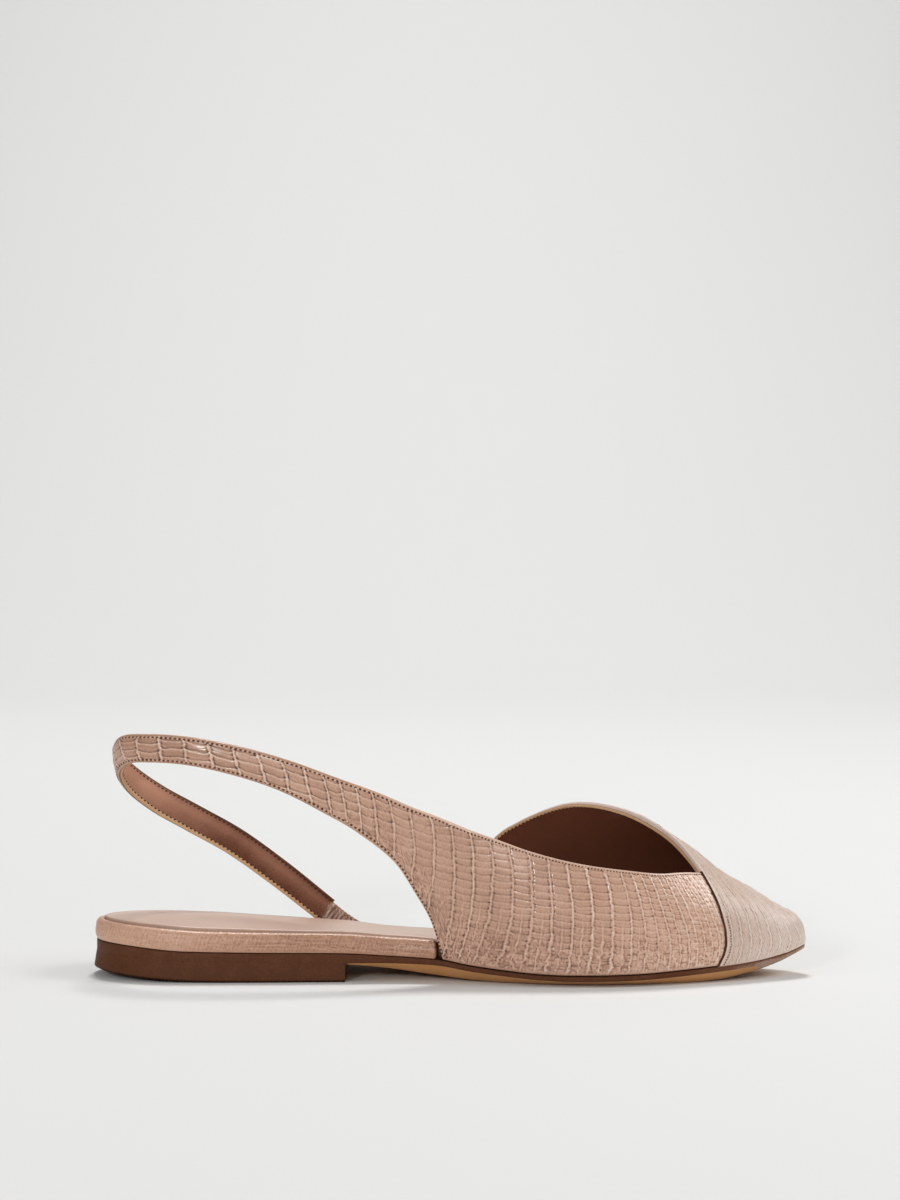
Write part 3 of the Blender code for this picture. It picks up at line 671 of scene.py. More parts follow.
quarterCut = {
    "across": 38, "along": 380, "slingAlong": 660, "wideColumns": 90, "slingFrom": 7.0, "farHalf": 0.36,
    "nearLength": 0.47, "roll": 0.45, "rollFade": 1.5, "cover": 1.05, "pad": 0.8, "rowPitch": 2.45,
    # rimTones run from the rolled face inwards, lighter over the curl: a painted highlight
    "rowSlope": 0.13, "seed": 11, "rimTones": (0.45, 0.60, 0.55, 0.2, 0.0, -0.4), "sharpAt": 190.0,
    "smoothAt": 80.0, "ridgeReach": 30.0, "tanMargin": 1.3, "tanFrom": 150.0, "stitchTop": 0.75, "stitchLow": 0.85,
    "stitchIn": 1.15, "lowStitchFrom": 93.0,
}
# stretches, along the topline or from it down, over which something sets in
quarterZone = {
    "sling": (105, 150), "seam": (10, 24), "fineRows": (14, 32), "alongTop": (85, 125), "doubleFrom": (16, 30),
    "doubleTo": (95, 115), "doubleDepth": (0.42, 0.68), "crumbleDepth": (0.45, 0.95), "sharpDepth": (0.25, 0.75),
    "ridged": (24, 42), "margin": (0.3, 1.2), "paintedLight": (5, 60), "shadedSling": (150, 220), "litLining": (110, 160),
    "liningDepth": (5.0, 9.0),
}
stitchPitchTable = makeTable("travel pitch", [(0, 1.05), (50, 1.2), (95, 1.4), (130, 1.75), (420, 1.8)])
ribPitchTable = makeTable("travel pitch", [
    (0, 2.5), (12, 2.4), (20, 3.0), (31, 3.7), (38, 6.4), (60, 7.2), (95, 7.7), (118, 8.0), (130, 6.4),
    (142, 6.2), (158, 8.4), (178, 9.3), (420, 9.3),
])
# painted light along the lining, lightest round the back of the loop and darker further forward
liningLightAndShadeTable = makeTable("travel tone", [
    (0, 0.5), (225, 0.8), (238, 0.95), (252, 0.95), (268, 0.70), (288, 0.40), (310, 0.18), (420, 0.12),
])
ribLeanTable = makeTable("travel bulge foot", [
    (0, 4.3, 5.7), (15, 4.0, 4.5), (33, 2.8, 1.0), (59, 3.7, 2.6), (80, 4.5, 0.3), (95, 4.5, 2.5),
    (114, 4.8, 8.0), (131, 5.2, 10.0), (159, 4.0, 7.6), (197, 2.0, 3.6), (212, 0.8, 1.2), (240, 0.4, 0.6),
    (420, 0.4, 0.6),
])


def quarterRows(step, seam):
    # straight rungs between the lower edge and the topline, bent like the seam close to it, laid on the last
    lowX, topX = readTable(quarterTable, "lowX", step), readTable(quarterTable, "topX", step)
    soleLine = lastPoint(lowX, np.full_like(lowX, -1.0))[:, 2]
    lowZ = np.maximum(readTable(quarterTable, "lowZ", step), soleLine)
    nearThroat = np.clip(1 - step, 0, 1) ** 2
    topZ = readTable(quarterTable, "topZ", step) + (seam[-1, 2] - quarterTable["topZ"][0]) * nearThroat
    up = ((seam[:, 2] - seam[0, 2]) / (seam[-1, 2] - seam[0, 2]))[None, :]
    bend = (seam[:, 0] - seam[0, 0] - (seam[-1, 0] - seam[0, 0]) * up[0])[None, :]
    fade = np.clip(1 - step / 2.5, 0, 1)[:, None] ** 2
    x = lowX[:, None] * (1 - up) + topX[:, None] * up + bend * fade
    z = lowZ[:, None] * (1 - up) + topZ[:, None] * up
    return innerWall(x, z)


def slingEdges(step):
    # half the width either way from the middle line, along an up direction that leans out
    read = {name: readTable(slingTable, name, step, flat=False) for name in ("x", "y", "z", "width", "lean")}
    middle = np.stack([read["x"], read["y"], read["z"]], -1)
    ahead = unit(np.gradient(middle, axis=0))
    out = unit(np.cross([0.0, 0.0, 1.0], ahead))
    lean = np.radians(read["lean"])[:, None]
    half = (np.cross(ahead, out) * np.cos(lean) + out * np.sin(lean)) * read["width"][:, None] / 2
    return middle - half, middle + half


def quarterLining():
    # inner face from the seam to the sling's end: rungs on the last, then a smooth band through the sling's rows
    share = np.linspace(-1, last["throatShare"], 4 * quarterCut["across"] + 1)
    seam = lastPoint(readTable(vampEdgeTable, "x", share), share)
    trial = np.linspace(0, quarterCut["slingFrom"], 200)
    length = travelAlong(quarterRows(trial, seam)[:, -1])
    even = np.interp(np.linspace(0, length[-1], quarterCut["along"] + 1), length, trial)
    front = quarterRows(even, seam)
    up = np.linspace(0, 1, len(seam))[None, :, None]
    low, high = slingEdges(slingTable["step"])
    sling = low[:, None, :] * (1 - up) + high[:, None, :] * up
    joined = quarterRows(quarterCut["slingFrom"] + np.array([-0.5, 0.0, 0.5, 1.0]), seam)
    rows = np.concatenate([joined, sling])
    travel = travelAlong(rows.mean(axis=1))
    # columns twice as close on the inner side as beyond the heel
    columns = quarterCut["slingAlong"]
    turning = travel[1] + quarterCut["nearLength"] * (travel[-1] - travel[1])
    knots = (0, columns - quarterCut["farHalf"] * columns, columns)
    fine = np.interp(np.arange(1, columns + 1), knots, (travel[1], turning, travel[-1]))
    lines = rows.reshape(len(rows), -1).T
    band = np.stack([curveThrough(travel, line, fine, flat=False) for line in lines], -1)
    return np.concatenate([front, band.reshape(len(fine), len(seam), 3)])


def joinPatch(fine, coarse, tone, edges):
    # between a column with all rows and one with every second: quads along the rolled edges and three triangles
    # elsewhere
    after, cells = len(fine), (len(fine) - 2 * edges - 1) // 2
    k, j = np.arange(edges), np.arange(cells)
    high, low = edges + 2 * cells + k, after + edges + cells + k
    f, c = edges + 2 * j, after + edges + j
    quads = [
        (k, k + 1, after + k + 1, after + k), (high, high + 1, low + 1, low),
        (f, f + 1, c, c), (f + 1, c + 1, c, c), (f + 1, f + 2, c + 1, c + 1),
    ]
    quads = np.concatenate([np.stack(corners, -1) for corners in quads])
    return {"points": np.concatenate([fine, coarse]), "quads": quads, "tone": tone}


def embossQuarter(face, rise, fall, travel):
    # relief and tone: ribs hang from the topline, swung by a parabola through no swing at the topline, the bulge
    # at half depth and the swing of their feet; the sling is padded by a parabola across its width
    zone, place = quarterZone, travel[:, None]
    pitch = readTable(ribPitchTable, "pitch", travel)
    ribs = runningSum(np.diff(travel) / ((pitch[1:] + pitch[:-1]) / 2))
    depth = fall / np.maximum(rise[:, -1:], 1e-6)
    bulge, foot = (readTable(ribLeanTable, name, travel)[:, None] for name in ("bulge", "foot"))
    swing = depth * (4 * bulge - foot) + depth ** 2 * (2 * foot - 4 * bulge)
    ribCount = np.interp(place + swing, travel, ribs)
    onWall = face[..., 2] + quarterCut["rowSlope"] * face[..., 0]

    def rowsOf(column):
        # finer close to the seam, sloping on the wall and along the topline on the sling
        middle = np.interp(column + 0.5, ribs, travel)
        along = ease(middle, *zone["alongTop"])
        spacing = quarterCut["rowPitch"] - 0.9 * (1 - ease(middle, *zone["fineRows"])) + 0.6 * along
        return (onWall * (1 - along) - fall * along) / spacing, spacing

    sling, near = ease(place, *zone["sling"]), 1 - ease(place, *zone["seam"])
    double = ease(depth, *zone["doubleDepth"]) * ease(place, *zone["doubleFrom"])
    double = double * (1 - ease(place, *zone["doubleTo"]))
    crumble = np.clip(0.75 * ease(depth, *zone["crumbleDepth"]) * (1 - sling) + 0.5 * near, 0, 1)
    columnStep = np.linalg.norm(np.gradient(face, axis=0), axis=2)
    ribPitch = columnStep / np.maximum(np.gradient(ribCount, axis=0), 1e-6)
    sharp, smooth = (bell(place - quarterCut[at], quarterCut["ridgeReach"]) for at in ("sharpAt", "smoothAt"))
    # ridge also lightens the rows' light ridges in the tone: a painted glint band on the strap round sharpAt,
    # weaker on the quarter round smoothAt
    ridge = 1 + 1.5 * sharp * (1 - ease(depth, *zone["sharpDepth"])) + 0.4 * sling
    ridge = ridge - (0.65 * smooth + 0.45 * (1 - ease(place, *zone["ridged"])))
    height, tone = lizardRelief(
        ribCount, ribPitch, rowsOf, np.broadcast_to(place, rise.shape), rise,
        strength=1.0 - 0.25 * near + 0.45 * sling, double=double, crumble=crumble, seed=quarterCut["seed"],
        ridge=ridge, swell=0.03 + 0.11 * sling)
    keep = ease(rise, *zone["margin"]) * ease(fall, *zone["margin"])
    padded = quarterCut["pad"] * sling * (1 - (2 * depth - 1) ** 2)
    fromSeam = travelAlong(face)
    # painted light and shade: a lighter band just below the topline is a painted highlight, the quarter is lit
    # more towards the seam, a painted light, and the sling darkens towards its back, a painted shade; a pale line
    # also runs beside the seam
    tone = 1.25 * tone * (0.35 + 0.65 * keep) + 0.22 * bell(fall, 0.7) + 0.30 * bell(fromSeam - 1.5, 0.5)
    tone = tone + 0.40 * (1 - ease(fromSeam, *zone["paintedLight"])) - 0.05 - 0.2 * ease(place, *zone["shadedSling"])
    return height * keep + padded, tone


def makeQuarter():
    # inner face moved out by the wall, embossed and rolled over at both edges; gives back its lines of stitches
    inside = quarterLining()
    up, normal = gridFrame(inside)[1:]
    outward, wall, roll, cover = -normal, last["wall"], quarterCut["roll"], quarterCut["cover"]
    rise = travelAlong(inside, 1)
    fall = rise[:, -1:] - rise
    face = inside + outward * wall
    rolling = np.exp(-rise / quarterCut["rollFade"]) - np.exp(-fall / quarterCut["rollFade"])
    face = face + up * roll * rolling[..., None]
    travel = travelAlong(face[:, -1])
    raised, tone = embossQuarter(face, rise, fall, travel)
    face = face + outward * raised[..., None]
    top = rolledEdge(face[:, -1], outward[:, -1], up[:, -1], roll, cover)
    low = rolledEdge(face[:, 0], outward[:, 0], -up[:, 0], roll, cover)
    skin = np.concatenate([low[::-1], face.transpose(1, 0, 2), top])
    sling = ease(travel, *quarterZone["sling"])
    # the rolled top edge is lighter, a painted highlight, and darker along the sling; the rolled lower edge is
    # darker on the quarter
    rim = np.array(quarterCut["rimTones"])[:, None] - 0.8 * sling
    skinTone = np.concatenate([rim[::-1] - 0.4 * (1 - sling), tone.T, rim])
    # every row on the quarter, every second one where the sling begins and every fourth one on its narrow part
    split, inner, number = quarterCut["along"], edgeRows, len(skin)
    narrow = split + quarterCut["wideColumns"]
    every, second, fourth = (
        np.concatenate([np.arange(inner), np.arange(inner, number - inner, k), np.arange(number - inner, number)])
        for k in (1, 2, 4))
    patches = [
        patch(skin[rows, begin:end], skinTone[rows, begin:end])
        for rows, begin, end in (
            (every, 0, split + 1), (second, split + 1, narrow + 1), (fourth, narrow + 1, None))
    ]
    for more, fewer, at in ((every, second, split), (second, fourth, narrow)):
        border = np.concatenate([skinTone[more, at], skinTone[fewer, at + 1]])
        patches.append(joinPatch(skin[more, at], skin[fewer, at + 1], border, edgeRows))
    makePiece("quarterSling", patches, lizardLeather, ["upper"])
    # raw edges, the tan margin inside and the cut end of the sling
    strips = []
    for row, beyond in ((-1, up[:, -1]), (0, -up[:, 0])):
        strip = edgeStrip(inside[:, row], outward[:, row], beyond, wall, cover)
        strips.append(patch(strip, 0.0, flip=row == 0))
    behind = travel > quarterCut["tanFrom"]
    margin = tanMargin(inside[behind], outward[behind], rise[behind], quarterCut["tanMargin"])
    strips.append(patch(margin, 0.1, flip=True))
    strips.append(patch(np.stack([inside[-1], inside[-1] + outward[-1] * wall]), -0.3))
    makePiece("slingRawEdge", strips, rawLeatherEdge)
    # painted light and shade on the lining: lightest at the back and in a band just below its top, darker lower
    # down and further forward, and evened out in front of the litLining stretch; it is also dark along its upper
    # edge
    liner = inside - outward * last["liningClear"]
    shade = readTable(liningLightAndShadeTable, "tone", travel)[:, None]
    shade = shade + 0.20 * bell(fall - 3.2, 1.8) - 0.12 * ease(fall, *quarterZone["liningDepth"])
    shade = shade * ease(travel, *quarterZone["litLining"])[:, None] - 0.75 * bell(fall, 0.75)
    makePiece("slingLining", [patch(liner[::2, ::4], shade[::2, ::4])], liningLeather)
    pitch = readTable(stitchPitchTable, "pitch", travel)
    outerLines, innerLines = [], []
    for gapFrom, order, margin, begin in (
        (fall, -1, quarterCut["stitchTop"], 0.0),
        (rise, 1, quarterCut["stitchLow"], quarterCut["lowStitchFrom"]),
    ):
        free = travel >= begin
        gap, normals = gapFrom[free, ::order], outward[free, ::order][:, innerColumn]
        onFace = besideEdge(face[free, ::order], gap, margin)
        onInside = besideEdge(inside[free, ::order], gap, quarterCut["stitchIn"])
        outerLines.append((onFace, normals, pitch[free]))
        innerLines.append((onInside, -normals, pitch[free]))
    return outerLines, innerLines


quarterOutside, quarterInside = makeQuarter()


# Vamp

vampCut = {
    "innerRows": 200, "outerRows": 160, "along": 240, "tipPower": 1.7, "roll": 0.5, "rollFade": 1.5, "cover": 1.75,
    "hemRoll": 0.3, "hemDepth": 1.0, "hemTone": -0.3, "seamAt": 228.0, "rowsFrom": 212.0, "seed": 41,
    "rimTones": (0.40, 0.45, 0.40, 0.25, 0.10, -1.0), "rawTones": (0.0, 0.2, -0.5, 0.3, 0.1), "tanMargin": 1.1,
    "seamProfile": ((-0.25, 0.03), (0.04, 0.02), (0.18, -0.15), (0.32, -0.42), (0.42, -0.85)),
    "stitchIn": 0.85, "stitchOut": 1.05, "stitchSeam": 1.7, "outFrom": 0.03, "seamTo": -0.60,
}
vampPitch = {
    "fine": 3.7, "coarse": 3.6, "knots": (100, 280, 721), "stitchIn": 1.6, "stitchOut": 1.5, "stitchSeam": 1.0,
}
# stretches along the shoe, over the vamp or from its edge, over which something sets in
vampZone = {
    "straight": (215, 262), "finer": (150, 222), "forward": (200, 225), "sides": (9, 20), "paintedLight": (230, 254),
    "edge": (0.4, 1.4), "hem": (0.2, 1.0), "tip": (0.0, 2.0), "tanMargin": (0.15, 0.45), "dark": (4, 40),
}


def embossVamp(x, share, run, rise):
    # relief and tone: ribs bent like the seam, finer towards the toe; rows at even steps over the crest, slanting
    # towards the toe
    zone = vampZone
    bent = readTable(vampEdgeTable, "x", -np.abs(share)) - vampCut["seamAt"]
    place = x - bent * (1 - 0.5 * ease(x, *zone["straight"]))
    knots = np.linspace(*vampPitch["knots"])
    pitch = vampPitch["fine"] + vampPitch["coarse"] * (1 - ease(knots, *zone["finer"]))
    ribs = np.interp(place, knots, runningSum(np.diff(knots) / pitch[1:]))
    forward = ease(x, *zone["forward"])
    overCrest, fromBend = rise - rise[vampCut["innerRows"]], x - vampCut["rowsFrom"]
    slanted = (overCrest + 1.2 * fromBend) / 1.85
    rows = slanted * forward + (overCrest + 0.3 * fromBend) / 2.6 * (1 - forward)
    high = 1 - 0.6 * ease(np.abs(overCrest), *zone["sides"])
    height, tone = lizardRelief(
        ribs, np.interp(place, knots, pitch), lambda column: (rows, 1.18 + 1.42 * (1 - forward)), x, rise,
        strength=1.0, double=0.0, crumble=0.2 * forward, seed=vampCut["seed"], mesh=forward * high)
    keep = ease(run, *zone["edge"]) * ease(rise, *zone["hem"]) * ease(rise[-1:] - rise, *zone["hem"])
    keep = keep * ease(shoe["length"] - last["vampWall"] - x, *zone["tip"])
    # lighter towards the toe: a painted sheen
    tone = tone * (0.4 + 0.6 * keep) + 0.12 + 0.26 * ease(x, *zone["paintedLight"]) + 0.30 * bell(run, 0.8)
    return height * keep, tone


def makeVamp():
    # rungs on the last from the seam to the tip, moved out by the wall, embossed and rolled over at the free edge
    # and both hems; gives back its lines of stitches
    inner, outer = np.linspace(-1, 0, vampCut["innerRows"] + 1), np.linspace(0, 1, vampCut["outerRows"] + 1)
    share = np.concatenate([inner, outer[1:]])[:, None]
    along = 1 - (1 - np.linspace(0, 1, vampCut["along"] + 1)) ** vampCut["tipPower"]
    edge = readTable(vampEdgeTable, "x", share)
    x = edge + (shoe["length"] - last["vampWall"] - edge) * along
    inside = lastPoint(x, np.broadcast_to(share, x.shape))
    over, ahead, normal = gridFrame(inside)
    outward, wall, roll = -normal, last["vampWall"], vampCut["roll"]
    outward[:, -1] = (1.0, 0.0, 0.0)
    face = inside + outward * wall
    run, rise = travelAlong(face, 1), travelAlong(face)
    face = face + ahead * (roll * np.exp(-run / vampCut["rollFade"]))[..., None]
    raised, tone = embossVamp(x, share, run, rise)
    face = face + outward * raised[..., None]
    face[:, -1] = face[:, -1].mean(axis=0)
    back = rolledEdge(face[:, 0], outward[:, 0], -ahead[:, 0], roll, vampCut["cover"])
    skin = np.concatenate([back[::-1], face.transpose(1, 0, 2)])
    # the rolled back edge is lighter over its curl, a painted highlight, ending in a dark line where it turns in
    rim = np.array(vampCut["rimTones"])[:, None] + np.zeros(len(face))
    skinTone = np.concatenate([rim[::-1], tone.T])

    def hem(side, sign):
        # the lower edge of one side rolled under; the rolled back edge takes the directions of the first column
        out, beyond = (
            np.concatenate([field[side, :1].repeat(edgeRows, 0), field[side]]) for field in (outward, over))
        rows = rolledEdge(skin[:, side], out, sign * beyond, vampCut["hemRoll"], vampCut["hemDepth"])
        return rows.transpose(1, 0, 2)

    whole = np.concatenate([hem(0, -1)[:, ::-1], skin, hem(-1, 1)], 1)
    hemTone = np.full((len(skin), edgeRows), vampCut["hemTone"])
    wholeTone = np.concatenate([hemTone, skinTone, hemTone], 1)
    makePiece("vamp", [patch(whole, wholeTone)], vampLeather, ["upper"])
    free = np.arange(len(share)) >= np.argmax(share[:, 0] >= last["throatShare"])
    rawEdge = edgeStrip(inside[free, 0], outward[free, 0], -ahead[free, 0], wall, vampCut["cover"])
    wide = vampCut["tanMargin"] * (0.25 + 0.75 * ease(share[free, 0], *vampZone["tanMargin"]))
    margin = tanMargin(inside[free], outward[free], run[free], wide)
    rawTones = np.array(vampCut["rawTones"])[:, None]
    strips = [patch(rawEdge, rawTones, flip=True), patch(margin, 0.2, flip=True)]
    makePiece("wingRawEdge", strips, rawLeatherEdge)
    liner = inside - outward * last["liningClear"]
    # painted shade: the lining darkens away from the wing's edge, deeper into the vamp
    shade = -0.05 - 0.4 * ease(run, *vampZone["dark"])
    makePiece("vampLining", [patch(liner[::3, ::3], shade[::3, ::3])], liningLeather)
    # painted seam edge, sloping from the vamp down to the quarter
    seam = ~free
    seam[np.argmax(free)] = True
    bead = np.stack([
        face[seam, 0] - ahead[seam, 0] * (out + roll) + outward[seam, 0] * up
        for out, up in vampCut["seamProfile"]
    ])
    makePiece("seamEdge", [patch(bead, -0.2, flip=True)], paintedEdge)
    wing, low = share[:, 0] > vampCut["outFrom"], share[:, 0] < vampCut["seamTo"]
    lining = besideEdge(inside[free], run[free], vampCut["stitchIn"])
    outside = besideEdge(face[wing], run[wing], vampCut["stitchOut"])
    besideSeam = besideEdge(face[low], run[low], vampCut["stitchSeam"])
    return (
        (lining, -outward[free, clearColumn], vampPitch["stitchIn"]),
        (outside, outward[wing, clearColumn], vampPitch["stitchOut"]),
        (besideSeam, outward[low, innerColumn], vampPitch["stitchSeam"]),
    )


wingInside, wingOutside, seamRow = makeVamp()
threads, holes = zip(*[stitchRow(*row) for row in quarterOutside + [wingOutside, seamRow]])
makePiece("stitches", threads, roseThread, weld=None)
# the awl holes: dark domes, painted shade
makePiece("stitchHoles", holes, paintedEdge, weld=None)
threads = [stitchRow(*row, lift=0.1)[0] for row in quarterInside + [wingInside]]
makePiece("liningStitches", threads, brownThread, weld=None)


# Covered insole edge, sock, sole, heel

rand = {
    "inset": 0.3, "start": 0.6, "endInner": 126.0, "endOuter": 132.5, "step": 0.6, "past": 3.0, "endFade": 0.4,
    "boardInset": 4.2, "boardEnd": 252.5, "pitch": 0.45, "sideRows": 18, "bulge": 0.25, "round": 2.2,
    "roundRows": 9, "lip": ((2.5, 0.02), (2.75, 0.12), (2.95, 0.4), (3.05, 0.9), (3.1, 1.6)), "ribPitch": 3.1,
    "rowPitch": 2.3, "seed": 71, "creases": ((1.9, 81), (3.4, 82), (4.9, 83)), "creased": (38, 70),
    "paintedLight": (25, 75),
}


def boardEdges(x, inset, start, end):
    # the sole's outline drawn in a little behind and further in front, with a smooth step between
    sides = []
    for side, at in ((0, rand["endInner"]), (1, rand["endOuter"])):
        inFront = ease(x, at - rand["step"], at + rand["step"])
        drawIn = rand["inset"] + (rand["boardInset"] - rand["inset"]) * inFront
        sides.append(soleEdges(x, drawIn + inset, start, end)[side])
    return sides


def backwardsAndBack(reachInner, reachOuter, start, steps=240):
    # places from a front point on the inner side round the heel to one on the outer side
    bend = start + shoe["heelRound"]
    turn = start + shoe["heelRound"] * (1 - np.cos(np.linspace(0, math.pi / 2, steps)))
    inner = np.concatenate([np.linspace(reachInner, bend, steps)[:-1], turn[::-1]])
    outer = np.concatenate([turn, np.linspace(bend, reachOuter, steps)[1:]])
    return inner, outer


def outlinePath(*sides):
    # flat lines of places and widths, one after another
    return np.concatenate([np.stack([x, y, 0 * x], -1) for x, y in sides])


def makeRand():
    # rows up the side with a sine's bulge, over a quarter circle, across a lip and down beside the sock
    innerX, outerX = backwardsAndBack(
        rand["endInner"] + rand["past"], rand["endOuter"] + rand["past"], rand["start"])
    innerY = boardEdges(innerX, 0.0, rand["start"], rand["boardEnd"])[0]
    outerY = boardEdges(outerX, 0.0, rand["start"], rand["boardEnd"])[1]
    line = evenly(outlinePath((innerX, innerY), (outerX, outerY)), rand["pitch"])
    inwards = np.cross(unit(np.gradient(line, axis=0)), [0.0, 0.0, 1.0])
    x, y = line[:, 0], line[:, 1]
    base = readTable(soleTable, "top", x) + shoe["gap"] - soleTilt(x, y)
    top = readTable(boardTable, "top", x) - soleTilt(x, y, 1.0)
    shoulder = np.minimum(rand["round"], (top - base) * 0.5)
    profile = [
        (rand["bulge"] * ((1 - t) ** 6 - math.sin(math.pi * t)), base + (top - shoulder - base) * t)
        for t in np.linspace(0, 1, rand["sideRows"])
    ]
    for turn in np.linspace(0, math.pi / 2, rand["roundRows"])[1:]:
        profile.append((shoulder * (1 - math.cos(turn)), top - shoulder * (1 - math.sin(turn))))
    lipFrom = len(profile)
    profile += [(inset, top - down) for inset, down in rand["lip"]]
    grid = np.stack([
        line + inwards * np.reshape(inset, (-1, 1)) + np.outer(z, (0, 0, 1)) for inset, z in profile])
    outward = gridFrame(grid)[2]
    travel, climb = np.broadcast_to(travelAlong(line), grid.shape[:2]), travelAlong(grid)
    rows = climb / rand["rowPitch"] + 0.4 * softNoise(travel / 14, climb / 9, 3)
    height, tone = lizardRelief(
        travel / rand["ribPitch"] + 0.12 * climb, rand["ribPitch"], lambda column: (rows, rand["rowPitch"]),
        travel, climb, strength=0.5, double=0.8, crumble=0.6, seed=rand["seed"])
    # long creases towards the waist
    for level, seed in rand["creases"]:
        off = climb - level - 0.7 * softNoise(travel / 16, 0 * travel, seed)
        off = off - 0.25 * softNoise(travel / 3, 0 * travel, seed + 5)
        deep = ease(x, *rand["creased"]) * (0.6 + 0.4 * softNoise(travel / 9, 0 * travel, seed + 9))
        height = height - 0.14 * bell(off, 0.26) * deep
        # lighter beside each crease and darker in it: painted highlight and painted shade
        tone = tone + (0.20 * bell(off + 0.5, 0.3) - 0.32 * bell(off, 0.26)) * deep
    number = np.arange(len(grid))[:, None]
    onSide = ease(climb, 0.2, 0.9) * (1 - ease(number, lipFrom - 1, lipFrom + 2))
    groove = ease(number, lipFrom + 1, lipFrom + 4)
    grid = grid + outward * (height * onSide)[..., None]
    # the rand is lit more towards the back of the heel, a painted light; the groove row by the sock is darker
    tone = 0.7 * tone * onSide - 0.14 + 0.26 * (1 - ease(x, *rand["paintedLight"])) - 0.40 * groove
    endInner, endOuter = (
        ease(x, rand[name] - rand["endFade"], rand[name] + rand["endFade"]) for name in ("endInner", "endOuter"))
    tone = tone - 0.9 * np.maximum(endInner * (y < 0), endOuter)
    makePiece("coveredEdge", [patch(grid, tone)], randLeather, ["covered_insole"])


def makeSock():
    # width between the edges by a sine dome for the heel pad, the rim turned down on a quarter circle
    sock = {
        "inset": 3.55, "start": 4.0, "end": 256.0, "lift": 0.9, "pad": 2.2, "padCentre": 40.0, "padReach": 38.0,
        "rimRound": 0.9, "rimDrop": 1.3, "dentShade": (66.0, -7.0), "dentShadeReach": (26.0, 7.0),
    }
    bend = sock["start"] + shoe["heelRound"]
    heelX = sock["start"] + shoe["heelRound"] * (1 - np.cos(np.linspace(0, math.pi / 2, 70)))
    x = np.concatenate([heelX, np.linspace(bend, sock["end"] - 0.5, 200)[1:]])[:, None]
    share = (1 - np.cos(np.linspace(0, math.pi, 61)))[None] / 2
    inner, outer = soleEdges(x, sock["inset"], sock["start"], sock["end"])
    y = inner + (outer - inner) * share
    x = np.broadcast_to(x, y.shape)
    pad = sock["pad"] * np.clip(1 - ((x - sock["padCentre"]) / sock["padReach"]) ** 2, 0, 1)
    rim = np.minimum(np.minimum(y - inner, outer - y), (x - sock["start"]) * 1.2)
    z = readTable(boardTable, "top", x) - soleTilt(x, y, 1.0) + sock["lift"] + pad * np.sin(math.pi * share) ** 0.7
    z = z - sock["rimDrop"] * (1 - rounded(rim, sock["rimRound"], 0.0)) + 0.05 * softNoise(x / 9.0, y / 14.0, 5)
    tone = 0.10 * softNoise(x / 25, y / 18, 6) - 0.5 * bell(rim, 0.5) - 0.06
    # a darker patch on the heel pad: the painted shade of a dent
    dentShadeX, dentShadeY = (bell(v - at, reach) for v, at, reach in zip((x, y), sock["dentShade"], sock["dentShadeReach"]))
    tone = tone - 0.22 * dentShadeX * dentShadeY
    makePiece("sock", [patch(np.stack([x, y, z], -1), tone)], sockLeather, ["insole_sock"])


def ringOutline(start, end, heelSteps=60, middleSteps=170, toeSteps=36):
    # places along the shoe, close together at the round ends
    heel = start + shoe["heelRound"] * (1 - np.cos(np.linspace(0, math.pi / 2, heelSteps)))
    toe = end - shoe["toeRound"] * (1 - np.cos(np.linspace(0, math.pi / 2, toeSteps)))[::-1]
    return np.concatenate([heel, np.linspace(heel[-1], toe[0], middleSteps)[1:-1], toe])


def drawnIn(x, inset, start, end):
    # places moved towards the middle by the inset at both ends, and less and less away from them
    share = (x - start) / (end - start)
    return x + inset * ((1 - share) ** 8 - share ** 8)


def ringRow(x, inset, z, start, end):
    # one closed row round the sole: inner edge from toe to heel, then outer edge from heel to toe
    place = drawnIn(x, inset, start, end)
    inner, outer = soleEdges(place, inset, start + inset, end - inset)
    high = np.interp(place, x, z + 0 * x)
    innerSide = np.stack([place, inner, high], -1)
    outerSide = np.stack([place, outer, high - soleTilt(place, outer)], -1)
    return np.concatenate([innerSide[::-1], outerSide])


